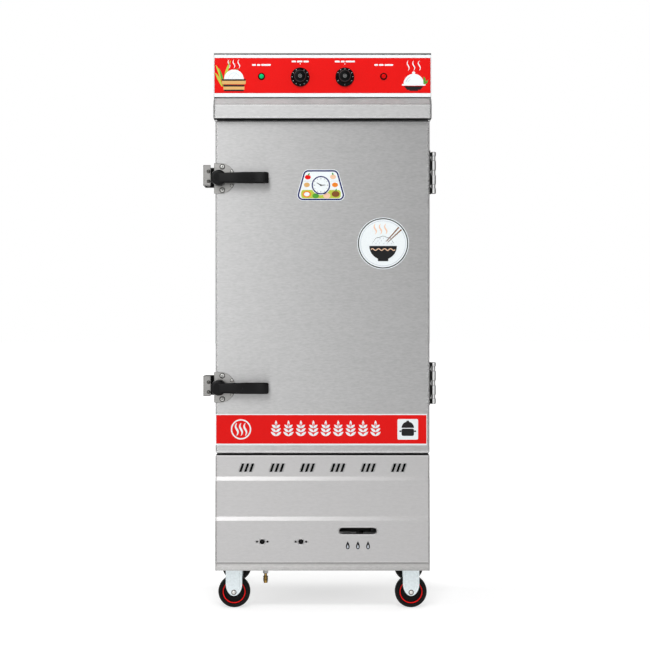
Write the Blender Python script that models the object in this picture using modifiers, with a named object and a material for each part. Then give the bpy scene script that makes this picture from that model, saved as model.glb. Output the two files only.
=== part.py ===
"""Rice steamer cabinet on casters.

An insulated steel cabinet with a water tank under its steam chamber. A gas burner or a heating
element boils the water, and the steam rises through a perforated baffle round a rack of rice
trays. The cabinet frame has X to the right, Y to the back and Z up, and z = 0 is the floor.
"""

import math

import bmesh
import bpy
from mathutils import Matrix, Vector

# Sheet thicknesses and clearances
SHEET = 0.0012
THIN_SHEET = 0.0008
PLATE = 0.002
SEAT_GAP = 0.0003
RUN_GAP = 0.0004
OVERLAP = 0.001
OVERRUN = 0.005
BEND = 0.003
ROUND_STEPS = 20
SMALL_STEPS = 12

# Cabinet
CABINET_WIDTH = 0.655
CABINET_DEPTH = 0.600
DOOR_THICKNESS = 0.045
SEAL_GAP = 0.008
WHEEL_RADIUS = 0.050
CASTER_HEADROOM = 0.032
CASTER_HEIGHT = 2 * WHEEL_RADIUS + CASTER_HEADROOM
SKIRT_DROP = 0.005
SKIRT_HEIGHT = 0.024
BASE_HEIGHT = 0.328
DOOR_GAP_BELOW = 0.007
DOOR_HEIGHT = 1.017
DOOR_GAP_ABOVE = 0.003
HOOD_HEIGHT = 0.065
CONTROL_HEIGHT = 0.135

HALF_WIDTH = CABINET_WIDTH / 2
FACE_Y = -CABINET_DEPTH / 2
BACK_Y = CABINET_DEPTH / 2
DOOR_BACK_Y = FACE_Y + DOOR_THICKNESS
FRAME_Y = DOOR_BACK_Y + SEAL_GAP
CASING_FRONT_Y = FRAME_Y + PLATE + SEAT_GAP
SKIRT_BOTTOM = CASTER_HEIGHT - SKIRT_DROP
SKIRT_TOP = SKIRT_BOTTOM + SKIRT_HEIGHT
BASE_TOP = SKIRT_TOP + BASE_HEIGHT
DOOR_BOTTOM = BASE_TOP + DOOR_GAP_BELOW
DOOR_TOP = DOOR_BOTTOM + DOOR_HEIGHT
HOOD_BOTTOM = DOOR_TOP + DOOR_GAP_ABOVE
ROOF_TOP = HOOD_BOTTOM + HOOD_HEIGHT
PANEL_TOP = ROOF_TOP + CONTROL_HEIGHT
CHASSIS_UNDERSIDE = CASTER_HEIGHT + SEAT_GAP
CHASSIS_FLOOR = CHASSIS_UNDERSIDE + PLATE
AIR_OPENING_WIDTH = 0.260
AIR_OPENING_DEPTH = 0.200

# Base front panel
PANEL_STEP = 0.004
CREASE_HEIGHT = 0.012
LOWER_BAND_HEIGHT = 0.129
TOP_BAND_HEIGHT = 0.065
TOP_BAND_Y = FACE_Y + PANEL_STEP
LOW_BAND_Y = FACE_Y - PANEL_STEP
SLOT_X = 0.108
SLOT_RISE = 0.098
SLOT_Z = SKIRT_TOP + SLOT_RISE
SLOT_LENGTH = 0.115
SLOT_HEIGHT = 0.020
VALVE_X = (-0.184, -0.066)
VALVE_RISE = 0.065
VALVE_Z = SKIRT_TOP + VALVE_RISE
VALVE_HOLE_RADIUS = 0.008
SCREW_HOLE_RADIUS = 0.00325
SCREW_HOLE_SPREAD = 0.016
VENT_COUNT = 6
VENT_FIRST_X = -0.232
VENT_PITCH = 0.093
VENT_DROP = 0.038
VENT_Z = BASE_TOP - VENT_DROP
VENT_SLITS = 3
VENT_SLIT_PITCH = 0.015
VENT_SLIT_WIDTH = 0.007
VENT_SLIT_HEIGHT = 0.026
VENT_SLANT = 0.009

# Chamber, tank and insulation
WALL_THICKNESS = 0.050
ROOF_THICKNESS = 0.061
LINER_HALF_WIDTH = HALF_WIDTH - WALL_THICKNESS
LINER_BACK_Y = BACK_Y - WALL_THICKNESS
LINER_TOP = ROOF_TOP - ROOF_THICKNESS
LEDGE_DROP = 0.001
LEDGE_Z = BASE_TOP - LEDGE_DROP
LEDGE_DEPTH = 0.015
LEDGE_FALL = 0.001
TANK_DEPTH = 0.133
TANK_BOTTOM = LEDGE_Z - TANK_DEPTH
OPENING_MARGIN = PLATE + SEAT_GAP
OPENING_RISE = 0.029
OPENING_BOTTOM = DOOR_BOTTOM + OPENING_RISE
OPENING_DROP = 0.028
OPENING_TOP = DOOR_TOP - OPENING_DROP
FRAME_LIP_DEPTH = 0.014
OPENING_HALF_WIDTH = LINER_HALF_WIDTH - SHEET - OPENING_MARGIN
BAFFLE_MARGIN = 0.003
BAFFLE_SLOT_ROWS = 2
BAFFLE_SLOT_COLUMNS = 9
BAFFLE_RIM = 0.048
BAFFLE_BRIDGE = 0.052
BAFFLE_SLOT_WIDTH = 0.014
BAFFLE_SLOT_PITCH = 0.052

# Rack and trays
TRAY_COUNT = 10
FIRST_RUNNER_RISE = 0.052
FIRST_RUNNER_Z = LEDGE_Z + FIRST_RUNNER_RISE
POST_SIZE = 0.020
POST_BACK_GAP = 0.065
POST_Y = LINER_BACK_Y - POST_BACK_GAP
RACK_SIDE_GAP = 0.0075
RACK_HALF_WIDTH = LINER_HALF_WIDTH - RACK_SIDE_GAP
RACK_HEAD = 0.070
RACK_TOP_GAP = 0.064
LAST_RUNNER_Z = LINER_TOP - RACK_TOP_GAP - RACK_HEAD
TRAY_PITCH = (LAST_RUNNER_Z - FIRST_RUNNER_Z) / (TRAY_COUNT - 1)
RUNNER_PROUD = 0.035
RUNNER_LENGTH = 2 * (POST_Y + RUNNER_PROUD)
RUNNER_LEG = 0.028
RUNNER_UPSTAND = 0.014
CROSS_BAR_SIZE = 0.012
TRAY_SIDE_INSET = 0.024
TRAY_RIM_HALF_WIDTH = RACK_HALF_WIDTH - TRAY_SIDE_INSET
TRAY_BACK_GAP = 0.038
TRAY_RIM_HALF_DEPTH = LINER_BACK_Y - TRAY_BACK_GAP
TRAY_RIM = 0.009
TRAY_HEIGHT = 0.050
TRAY_TAPER = 0.004
TRAY_CORNER = 0.025
TRAY_FLOOR_BEND = 0.006

# Control box
HOOD_OVERHANG = 0.0045
CONTROL_OVERHANG = 0.0035
HOOD_REACH = 0.025
HOOD_Y = FACE_Y - HOOD_REACH
CONTROL_REACH = 0.010
CONTROL_Y = FACE_Y - CONTROL_REACH
HOOD_BAND_HEIGHT = 0.041
HOOD_BEND_Z = HOOD_BOTTOM + HOOD_BAND_HEIGHT
HOOD_CORNER = 0.005
CONTROL_BOX_DEPTH = 0.230
CONTROL_SHEET = 0.0015
CONTROL_FLANGE = 0.014
KNOB_X = 0.068
KNOB_DROP = 0.073
KNOB_Z = PANEL_TOP - KNOB_DROP
KNOB_SKIRT_RADIUS = 0.0285
KNOB_SKIRT_HEIGHT = 0.004
KNOB_SHOULDER_RADIUS = 0.0225
KNOB_SHOULDER_HEIGHT = 0.008
KNOB_GRIP_RADIUS = 0.0185
KNOB_HEIGHT = 0.024
KNOB_EDGE = 0.002
KNOB_BORE_DEPTH = 0.016
SPINDLE_RADIUS = 0.003
SPINDLE_LENGTH = 0.017
COLLAR_RADIUS = 0.005
SWITCH_BODY = 0.046
SWITCH_DEPTH = 0.034
LAMP_X = (-0.186, 0.1865)
LAMP_DROP = 0.071
LAMP_Z = PANEL_TOP - LAMP_DROP
LAMP_BEZEL_RADIUS = 0.0108
LAMP_BEZEL_HEIGHT = 0.003
LAMP_LENS_RADIUS = 0.0080
LAMP_LENS_HEIGHT = 0.009
LAMP_CROWN_SHARE = 0.62
LAMP_CROWN_DROP_SHARE = 0.12
LAMP_WALL_SHARE = 0.2
LAMP_BARREL_RADIUS = 0.0078
LAMP_BARREL_LENGTH = 0.030
LAMP_NUT_HEIGHT = 0.004
GLAND_X = 0.200
GLAND_DROP = 0.066
GLAND_Z = PANEL_TOP - GLAND_DROP
GLAND_RADIUS = 0.012
GLAND_THREAD_RADIUS = 0.009
GLAND_BORE_RADIUS = 0.005
GLAND_LENGTH = 0.020
GLAND_THREAD_LENGTH = 0.010

# Door
DOOR_EDGE_RADIUS = 0.005
GASKET_RADIUS = 0.0036
GASKET_MARGIN = 0.009
GASKET_CORNER = 0.015
PLUG_GAP = 0.012
PLUG_HEIGHT = 0.015
PLUG_EDGE = 0.006

# Hinges
HINGE_PROUD = 0.015
HINGE_X = HALF_WIDTH + HINGE_PROUD
HINGE_Y = (DOOR_BACK_Y + FRAME_Y) / 2
LOW_HINGE_RISE = 0.212
HIGH_HINGE_DROP = 0.1555
HINGE_Z = (DOOR_BOTTOM + LOW_HINGE_RISE, DOOR_TOP - HIGH_HINGE_DROP)
HINGE_HALF_HEIGHT = 0.0645
HINGE_RADIUS = 0.00775
HINGE_PIN_RADIUS = 0.004
HINGE_NECK_RADIUS = 0.0058
HINGE_LEAF_THICKNESS = 0.0025
HINGE_LEAF_DEPTH = 0.036
HINGE_LEAF_SETBACK = 0.004
HINGE_CAP = 0.012
HINGE_TOP_NECK = 0.015
HINGE_DOOR_KNUCKLE = 0.030
HINGE_MIDDLE_NECK = 0.015
HINGE_FRAME_KNUCKLE = 0.028
HINGE_LOW_NECK = 0.012

# Latches
LATCH_INSET = 0.012
LATCH_X = -HALF_WIDTH + LATCH_INSET
LOW_LATCH_RISE = 0.201
HIGH_LATCH_DROP = 0.178
LATCH_Z = (DOOR_BOTTOM + LOW_LATCH_RISE, DOOR_TOP - HIGH_LATCH_DROP)
LATCH_PLATE_PROUD = 0.0035
LATCH_PLATE_LEFT = -HALF_WIDTH - LATCH_PLATE_PROUD
LATCH_PLATE_HALF_HEIGHT = 0.0465
LATCH_PLATE_WIDTH = 0.0654
LATCH_PLATE_RIGHT = LATCH_PLATE_LEFT + LATCH_PLATE_WIDTH
LATCH_PLATE_THICKNESS = 0.003
HUB_RADIUS = 0.0238
HUB_DEPTH = 0.032
HUB_EDGE = 0.003
LEVER_HALF_HEIGHT = 0.0167
LEVER_REACH = 0.1525
LEVER_THICKNESS = 0.016
LEVER_CRANK = 0.030
LEVER_RISE = 0.008
LEVER_EDGE = 0.005
LEVER_GRIP_SHARES = (0.7, 0.45)
CAM_HALF_HEIGHT = 0.012
CAM_DEPTH = 0.008
CAM_PROUD = 0.0003
LOW_KEEPER_RISE = 0.005
HIGH_KEEPER_RISE = 0.008
KEEPER_Z = (LATCH_Z[0] + LOW_KEEPER_RISE, LATCH_Z[1] + HIGH_KEEPER_RISE)
KEEPER_PROUD = 0.0352
KEEPER_LEFT = -HALF_WIDTH - KEEPER_PROUD
KEEPER_GAP = 0.0007
KEEPER_HEIGHT = 0.0624
KEEPER_THICKNESS = 0.0025
KEEPER_LIP_REACH = 0.016
KEEPER_LIP_Y = FACE_Y - KEEPER_LIP_REACH
KEEPER_LEG = 0.040

# Gas, heat, water and steam fittings
BURNER_Z = SLOT_Z
BURNER_SETBACK = 0.075
BURNER_Y = FACE_Y + BURNER_SETBACK
BURNER_RADIUS = 0.013
BURNER_BRANCH_RADIUS = 0.010
BURNER_BRANCH_X = (-0.120, 0.0, 0.120)
BURNER_LEFT_END = 0.006
BURNER_RIGHT_END = 0.030
BURNER_LEFT = VALVE_X[0] - BURNER_LEFT_END
BURNER_RIGHT = BURNER_BRANCH_X[-1] + BURNER_RIGHT_END
BURNER_BACK_GAP = 0.150
BURNER_BRANCH_END = BACK_Y - BURNER_BACK_GAP
BURNER_LEG_SIZE = 0.014
BURNER_FRONT_LEG = 0.035
BURNER_BACK_LEG = 0.020
BURNER_LEG_Y = (BURNER_Y + BURNER_FRONT_LEG, BURNER_BRANCH_END - BURNER_BACK_LEG)
FEED_RADIUS = 0.006
MANIFOLD_SETBACK = 0.034
MANIFOLD_Y = FACE_Y + MANIFOLD_SETBACK
MANIFOLD_RADIUS = 0.0105
MANIFOLD_LEFT_END = 0.031
MANIFOLD_LEFT = VALVE_X[0] - MANIFOLD_LEFT_END
MANIFOLD_RIGHT_END = 0.026
MANIFOLD_RIGHT = VALVE_X[-1] + MANIFOLD_RIGHT_END
VALVE_BODY_RADIUS = 0.014
VALVE_BODY_LENGTH = 0.020
STEM_RADIUS = 0.004
STEM_SETBACK = 0.004
RISER_OFFSET = 0.0075
BARB_X = VALVE_X[0] + RISER_OFFSET
RISER_SETBACK = 0.060
BARB_Y = FACE_Y + RISER_SETBACK
BARB_LENGTH = 0.053
BARB_BOTTOM = CASTER_HEIGHT - BARB_LENGTH
BARB_BODY_DROP = 0.026
BARB_BODY_TOP = CASTER_HEIGHT - BARB_BODY_DROP
BARB_NUT_DROP = 0.016
BARB_NECK_TOP = CASTER_HEIGHT - BARB_NUT_DROP
BARB_RADIUS = 0.008
BARB_NECK_RADIUS = 0.0045
BARB_NUT_RADIUS = 0.0095
BARB_BORE_RADIUS = 0.003
BARB_BORE_DEPTH = 0.012
BARB_GROOVE = 0.0015
BARB_RIB_PITCH = 0.006
RISER_RADIUS = 0.008
ELEMENT_RISE = 0.040
ELEMENT_Z = TANK_BOTTOM + ELEMENT_RISE
ELEMENT_RADIUS = 0.0055
ELEMENT_HALF_WIDTH = 0.060
ELEMENT_SETBACK = 0.130
ELEMENT_FRONT_Y = FACE_Y + ELEMENT_SETBACK
ELEMENT_FLANGE_WIDTH = 0.170
ELEMENT_FLANGE_HEIGHT = 0.050
ELEMENT_FLANGE_THICKNESS = 0.006
ELEMENT_TERMINAL = 0.022
DRAIN_INSET = 0.0575
DRAIN_X = -LINER_HALF_WIDTH + DRAIN_INSET
DRAIN_RISE = 0.027
DRAIN_Z = TANK_BOTTOM + DRAIN_RISE
DRAIN_RADIUS = 0.011
DRAIN_CAP_RADIUS = 0.016
DRAIN_CAP_LENGTH = 0.014
DRAIN_PROUD = 0.010
STEAM_X = 0.180
STEAM_INSET = 0.120
STEAM_Y = BACK_Y - STEAM_INSET
STEAM_RADIUS = 0.0135
STEAM_BORE_RADIUS = 0.011
STEAM_FLANGE_RADIUS = 0.026
STEAM_HEIGHT = 0.045
FLUE_DROP = 0.078
FLUE_Z = LEDGE_Z - FLUE_DROP
FLUE_WIDTH = 0.140
FLUE_HEIGHT = 0.070
FLUE_DEPTH = 0.028
FLUE_HOLE_MARGIN = 0.012

# Casters
WHEEL_WIDTH = 0.032
WHEEL_STEPS = 24
TREAD_EDGE = 0.006
TREAD_DEPTH = 0.012
WEB_RADIUS = WHEEL_RADIUS - TREAD_DEPTH
WEB_SETBACK = 0.004
BOSS_RADIUS = 0.016
AXLE_RADIUS = 0.004
AXLE_Z = WHEEL_RADIUS * math.cos(math.pi / WHEEL_STEPS)
NUT_RADIUS = 0.008
NUT_HEIGHT = 0.005
FRONT_CASTER_INSET = 0.053
FRONT_CASTER_X = HALF_WIDTH - FRONT_CASTER_INSET
REAR_SWIVEL_INSET = 0.0605
REAR_SWIVEL_X = HALF_WIDTH - REAR_SWIVEL_INSET
CASTER_DEPTH_INSET = 0.080
CASTER_Y = BACK_Y - CASTER_DEPTH_INSET
SWIVEL_TRAIL = 0.028
FORK_HALF_WIDTH = 0.0255
FORK_END_RADIUS = 0.017
FORK_TAPER_DROP = 0.048
FORK_TAPER_Z = CASTER_HEIGHT - FORK_TAPER_DROP
FORK_SHEET = 0.0025
FORK_SIDE_GAP = 0.004
CASTER_PLATE_WIDTH = 0.076
CASTER_PLATE_DEPTH = 0.064
RACE_RADIUS = 0.024
RACE_HEIGHT = 0.007
CROWN_RADIUS = 0.027
PEDAL_PIVOT_X = 0.019
PEDAL_PIVOT_DROP = 0.024
PEDAL_PIVOT_Z = CASTER_HEIGHT - PEDAL_PIVOT_DROP
PEDAL_BARREL_RADIUS = 0.004
PEDAL_PIN_RADIUS = 0.002
PEDAL_LENGTH = 0.044
PEDAL_WIDTH = 0.034
PEDAL_THICKNESS = 0.004
PEDAL_DROP = 0.003
PEDAL_PAD = 0.003
PEDAL_PAD_START = 0.012
PEDAL_PAD_END = 0.020

# Reach of the whole object, which sets the origin under the middle of its box
REACH_LEFT = KEEPER_LEFT
REACH_RIGHT = HINGE_X + HINGE_RADIUS
REACH_FRONT = FACE_Y - SEAT_GAP - LATCH_PLATE_THICKNESS - SEAT_GAP - HUB_DEPTH - LEVER_RISE
REACH_BACK = BACK_Y + FLUE_DEPTH + SEAT_GAP
ORIGIN_X = (REACH_LEFT + REACH_RIGHT) / 2
ORIGIN_Y = (REACH_FRONT + REACH_BACK) / 2

# Base colour, roughness and metallic value
FINISHES = {
    "brushed_steel": ((0.62, 0.62, 0.61), 0.34, 1.0),
    "liner_steel": ((0.66, 0.67, 0.68), 0.25, 1.0),
    "zinc": ((0.72, 0.76, 0.78), 0.35, 1.0),
    "black_plastic": ((0.012, 0.012, 0.013), 0.40, 0.0),
    "rubber": ((0.020, 0.020, 0.021), 0.75, 0.0),
    "gasket": ((0.35, 0.35, 0.36), 0.70, 0.0),
    "red_label": ((0.80, 0.02, 0.02), 0.35, 0.0),
    "brass": ((0.78, 0.56, 0.22), 0.30, 1.0),
    "foam": ((0.85, 0.80, 0.62), 0.90, 0.0),
    "cast_iron": ((0.16, 0.16, 0.165), 0.60, 0.8),
    "green_lens": ((0.02, 0.45, 0.12), 0.15, 0.0),
    "red_lens": ((0.55, 0.01, 0.01), 0.15, 0.0),
}

AXIS_ROTATION = {
    "X": Matrix(((0, 0, 1), (1, 0, 0), (0, 1, 0))).to_4x4(),
    "Y": Matrix(((1, 0, 0), (0, 0, -1), (0, 1, 0))).to_4x4(),
    "Z": Matrix.Identity(4),
}


# Scene set-up

def clear_scene():
    for obj in list(bpy.data.objects):
        bpy.data.objects.remove(obj, do_unlink=True)


def new_collection(name):
    found = bpy.data.collections.new(name)
    bpy.context.scene.collection.children.link(found)
    return found


def new_material(name):
    colour, roughness, metallic = FINISHES[name]
    material = bpy.data.materials.new(name)
    material.use_nodes = True
    shader = material.node_tree.nodes["Principled BSDF"]
    shader.inputs["Base Color"].default_value = (*colour, 1.0)
    shader.inputs["Roughness"].default_value = roughness
    shader.inputs["Metallic"].default_value = metallic
    return material


def new_empty(name, at, parent=None):
    empty = bpy.data.objects.new(name, None)
    PARTS.objects.link(empty)
    hang(empty, at, parent)
    return empty


def hang(obj, at, parent):
    """Parent an object and place it at a point of the cabinet frame."""
    obj["at"] = tuple(at)
    obj.parent = parent
    base = Vector(parent["at"]) if parent else Vector()
    obj.location = Vector(at) - base


def node(name, mesh, at, finish, parent=None):
    obj = bpy.data.objects.new(name, mesh)
    PARTS.objects.link(obj)
    mesh.materials.append(MATERIALS[finish])
    hang(obj, at, parent or ASSEMBLY)
    return obj


def tool(name, mesh, at):
    """A shape that a Boolean cuts away or joins on."""
    obj = bpy.data.objects.new(name, mesh)
    CUTTERS.objects.link(obj)
    obj.hide_render = True
    obj.display_type = "WIRE"
    hang(obj, at, ASSEMBLY)
    return obj


# Meshes

def mesh_of(name, bm):
    mesh = bpy.data.meshes.new(name)
    bm.normal_update()
    bm.to_mesh(mesh)
    bm.free()
    return mesh


def box_mesh(name, size, open_sides=()):
    """A box round its centre, without the sides named such as -Y or +Z."""
    bm = bmesh.new()
    bmesh.ops.create_cube(bm, size=1)
    bmesh.ops.scale(bm, vec=size, verts=bm.verts)
    bm.normal_update()
    signs = {"-": -1, "+": 1}
    for side in open_sides:
        axis = "XYZ".index(side[1])
        faces = [f for f in bm.faces if f.normal[axis] * signs[side[0]] > 0.5]
        bmesh.ops.delete(bm, geom=faces, context="FACES")
    return mesh_of(name, bm)


def curve_mesh(name, curve):
    """The mesh of a curve, with its caps welded and its flat faces whole."""
    obj = bpy.data.objects.new(name, curve)
    bpy.context.scene.collection.objects.link(obj)
    graph = bpy.context.evaluated_depsgraph_get()
    mesh = bpy.data.meshes.new_from_object(obj.evaluated_get(graph))
    bpy.data.objects.remove(obj, do_unlink=True)
    bm = bmesh.new()
    bm.from_mesh(mesh)
    bpy.data.meshes.remove(mesh)
    bmesh.ops.remove_doubles(bm, verts=bm.verts, dist=SEAT_GAP / 10)
    bmesh.ops.dissolve_limit(bm, angle_limit=math.radians(1), verts=bm.verts, edges=bm.edges)
    bmesh.ops.recalc_face_normals(bm, faces=bm.faces)
    return mesh_of(name, bm)


def flat_curve(name, outlines, thickness, fill, cyclic):
    curve = bpy.data.curves.new(name, "CURVE")
    curve.dimensions = "2D"
    curve.fill_mode = fill
    curve.extrude = thickness / 2
    for points in outlines:
        spline = curve.splines.new("POLY")
        spline.points.add(len(points) - 1)
        for target, (x, y) in zip(spline.points, points):
            target.co = (x, y, 0, 1)
        spline.use_cyclic_u = cyclic
    return curve


def outline_mesh(name, outlines, thickness, axis):
    """Closed outlines made solid along an axis: (y, z) along X, (x, z) along Y, (x, y) along Z."""
    mesh = curve_mesh(name, flat_curve(name, outlines, thickness, "BOTH", True))
    mesh.transform(AXIS_ROTATION[axis])
    return mesh


def folded_mesh(name, outline, width, open_edges):
    """A (y, z) outline run along X with both cheeks, open at the named edges of the outline."""
    mesh = outline_mesh(name, [outline], width, "X")
    bm = bmesh.new()
    bm.from_mesh(mesh)
    bpy.data.meshes.remove(mesh)
    for index in open_edges:
        (y1, z1), (y2, z2) = outline[index], outline[(index + 1) % len(outline)]
        middle = Vector((0, (y1 + y2) / 2, (z1 + z2) / 2))
        nearest = min(bm.faces, key=lambda face: (face.calc_center_median() - middle).length)
        bmesh.ops.delete(bm, geom=[nearest], context="FACES")
    return mesh_of(name, bm)


def ribbon_mesh(name, path, width, axis):
    """An open strip along a flat path, for Solidify."""
    mesh = curve_mesh(name, flat_curve(name, [path], width, "NONE", False))
    mesh.transform(AXIS_ROTATION[axis])
    return mesh


def tube_mesh(name, points, radius, resolution=3, cyclic=False):
    curve = bpy.data.curves.new(name, "CURVE")
    curve.dimensions = "3D"
    curve.bevel_depth = radius
    curve.bevel_resolution = resolution
    curve.use_fill_caps = not cyclic
    spline = curve.splines.new("POLY")
    spline.points.add(len(points) - 1)
    for target, point in zip(spline.points, points):
        target.co = (*point, 1)
    spline.use_cyclic_u = cyclic
    mesh = curve_mesh(name, curve)
    smooth(mesh)
    return mesh


def turned_mesh(name, profile, closed=False):
    """A (radius, height) profile for Screw, top to bottom down its outer side."""
    bm = bmesh.new()
    points = [bm.verts.new((radius, 0, height)) for radius, height in profile]
    for first, second in zip(points, points[1:]):
        bm.edges.new((first, second))
    if closed:
        bm.edges.new((points[-1], points[0]))
    return mesh_of(name, bm)


def rod_mesh(name, radius, length, axis, steps=SMALL_STEPS):
    """A cylinder round its centre."""
    bm = bmesh.new()
    bmesh.ops.create_cone(
        bm, cap_ends=True, segments=steps, radius1=radius, radius2=radius, depth=length
    )
    mesh = mesh_of(name, bm)
    mesh.transform(AXIS_ROTATION[axis])
    smooth(mesh)
    return mesh


def smooth(mesh):
    mesh.shade_smooth()
    mesh.set_sharp_from_angle(angle=math.radians(40))


# Outlines

def arc(centre, radius, start, end, steps):
    """Points on an arc, angles in degrees."""
    turns = [math.radians(start + (end - start) * i / steps) for i in range(steps + 1)]
    return [(centre[0] + radius * math.cos(t), centre[1] + radius * math.sin(t)) for t in turns]


def circle(centre, radius, steps=SMALL_STEPS):
    return arc(centre, radius, 0, 360, steps)[:-1]


def rectangle(left, right, low, high):
    return [(left, low), (right, low), (right, high), (left, high)]


def obround(centre, length, height, steps=6):
    """A slot with round ends, along the first axis."""
    radius = height / 2
    reach = length / 2 - radius
    right = arc((centre[0] + reach, centre[1]), radius, -90, 90, steps)
    left = arc((centre[0] - reach, centre[1]), radius, 90, 270, steps)
    return right + left


def round_rectangle(half_width, half_height, radius, steps=3):
    x, y = half_width - radius, half_height - radius
    return (
        arc((x, -y), radius, -90, 0, steps)
        + arc((x, y), radius, 0, 90, steps)
        + arc((-x, y), radius, 90, 180, steps)
        + arc((-x, -y), radius, 180, 270, steps)
    )


# Modifiers

def solidify(obj, thickness, outward=False):
    modifier = obj.modifiers.new("Solidify", "SOLIDIFY")
    modifier.thickness = thickness
    modifier.offset = 1 if outward else -1
    modifier.use_even_offset = True


def bevel(obj, width, segments=2, angle=30):
    modifier = obj.modifiers.new("Bevel", "BEVEL")
    modifier.width = width
    modifier.segments = segments
    modifier.limit_method = "ANGLE"
    modifier.angle_limit = math.radians(angle)


def screw(obj, steps=ROUND_STEPS):
    modifier = obj.modifiers.new("Screw", "SCREW")
    modifier.steps = steps
    modifier.render_steps = steps
    modifier.use_merge_vertices = True
    modifier.merge_threshold = SEAT_GAP / 10


def cut(obj, cutter):
    modifier = obj.modifiers.new("Cut", "BOOLEAN")
    modifier.operation = "DIFFERENCE"
    modifier.object = cutter


def join(obj, added):
    modifier = obj.modifiers.new("Join", "BOOLEAN")
    modifier.operation = "UNION"
    modifier.object = added


def turned(name, profile, at, finish, axis="Z", steps=ROUND_STEPS, closed=False, parent=None):
    """A turned node whose profile's height runs along +Z, or towards the front for axis Y."""
    obj = node(name, turned_mesh(name, profile, closed), at, finish, parent)
    if axis == "Y":
        obj.rotation_euler = (math.radians(90), 0, 0)
    screw(obj, steps)
    return obj


# Carcass

def build_chassis():
    height = SKIRT_HEIGHT
    centre = (0, 0, SKIRT_BOTTOM + height / 2)
    size = (CABINET_WIDTH, CABINET_DEPTH, height)
    chassis = node("chassis", box_mesh("chassis", size, ("+Z", "-Z")), centre, "brushed_steel")
    solidify(chassis, PLATE)
    floor_size = (CABINET_WIDTH - PLATE, CABINET_DEPTH - PLATE, PLATE)
    floor_z = CHASSIS_UNDERSIDE + PLATE / 2
    join(chassis, tool("chassis_floor", box_mesh("chassis_floor", floor_size), (0, 0, floor_z)))
    air = box_mesh("air_opening", (AIR_OPENING_WIDTH, AIR_OPENING_DEPTH, PLATE + 2 * OVERRUN))
    cut(chassis, tool("air_opening", air, (0, 0, floor_z)))
    barb = rod_mesh("barb_hole", RISER_RADIUS + RUN_GAP, PLATE + 2 * OVERRUN, "Z")
    cut(chassis, tool("barb_hole", barb, (BARB_X, BARB_Y, floor_z)))


def build_base_panel():
    crease_2 = SKIRT_TOP + LOWER_BAND_HEIGHT
    crease_1 = BASE_TOP - TOP_BAND_HEIGHT - CREASE_HEIGHT
    back = FRAME_Y - SEAT_GAP
    bottom = SKIRT_TOP + SEAT_GAP
    outline = [
        (back, bottom),
        (LOW_BAND_Y, bottom),
        (LOW_BAND_Y, crease_2),
        (FACE_Y, crease_2 + CREASE_HEIGHT),
        (FACE_Y, crease_1),
        (TOP_BAND_Y, crease_1 + CREASE_HEIGHT),
        (TOP_BAND_Y, BASE_TOP),
        (back, BASE_TOP),
    ]
    mesh = folded_mesh("base_front_panel", outline, CABINET_WIDTH, (7,))
    panel = node("base_front_panel", mesh, (0, 0, 0), "brushed_steel")
    solidify(panel, SHEET)
    reach = 4 * PANEL_STEP + 2 * OVERRUN
    holes = [obround((SLOT_X, SLOT_Z), SLOT_LENGTH, SLOT_HEIGHT)]
    for x in VALVE_X:
        holes.append(circle((x, VALVE_Z), VALVE_HOLE_RADIUS))
        for side in (-1, 1):
            holes.append(circle((x + side * SCREW_HOLE_SPREAD, VALVE_Z), SCREW_HOLE_RADIUS, 8))
    for group in range(VENT_COUNT):
        middle = VENT_FIRST_X + group * VENT_PITCH
        for slit in range(VENT_SLITS):
            x = middle + (slit - (VENT_SLITS - 1) / 2) * VENT_SLIT_PITCH
            holes.append(vent_slit(x))
    cutter = outline_mesh("front_holes", holes, reach, "Y")
    cut(panel, tool("front_holes", cutter, (0, FACE_Y, 0)))
    floor_cut = box_mesh(
        "panel_floor_cut",
        (CABINET_WIDTH - 2 * PLATE, -LOW_BAND_Y + back - PLATE, 2 * OVERRUN),
    )
    centre_y = (LOW_BAND_Y + PLATE + back + OVERRUN) / 2
    cut(panel, tool("panel_floor_cut", floor_cut, (0, centre_y + OVERRUN, bottom)))


def vent_slit(x):
    """One slanted slit of the vent row."""
    half_width, half_height = VENT_SLIT_WIDTH / 2, VENT_SLIT_HEIGHT / 2
    lean = VENT_SLANT / 2
    return [
        (x - half_width - lean, VENT_Z - half_height),
        (x + half_width - lean, VENT_Z - half_height),
        (x + half_width + lean, VENT_Z + half_height),
        (x - half_width + lean, VENT_Z + half_height),
    ]


def build_casing():
    bottom = SKIRT_TOP + SEAT_GAP
    top = ROOF_TOP - SEAT_GAP
    outline = [(CASING_FRONT_Y, top), (CASING_FRONT_Y, bottom), (BACK_Y, bottom), (BACK_Y, top)]
    mesh = folded_mesh("outer_casing", outline, CABINET_WIDTH, (0, 1))
    casing = node("outer_casing", mesh, (0, 0, 0), "brushed_steel")
    bevel(casing, BEND)
    solidify(casing, SHEET)
    flue_size = (
        FLUE_WIDTH - 2 * FLUE_HOLE_MARGIN,
        SHEET + 2 * OVERRUN,
        FLUE_HEIGHT - 2 * FLUE_HOLE_MARGIN,
    )
    flue = tool("flue_hole", box_mesh("flue_hole", flue_size), (0, BACK_Y, FLUE_Z + FLUE_HEIGHT / 2))
    cut(casing, flue)
    drain = rod_mesh("drain_hole", DRAIN_RADIUS + RUN_GAP, 2 * OVERRUN, "Y", ROUND_STEPS)
    cut(casing, tool("drain_hole", drain, (DRAIN_X, BACK_Y, DRAIN_Z)))
    steam = rod_mesh("steam_hole", STEAM_RADIUS + RUN_GAP, 2 * OVERRUN, "Z", ROUND_STEPS)
    cut(casing, tool("steam_hole", steam, (STEAM_X, STEAM_Y, ROOF_TOP)))


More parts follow.
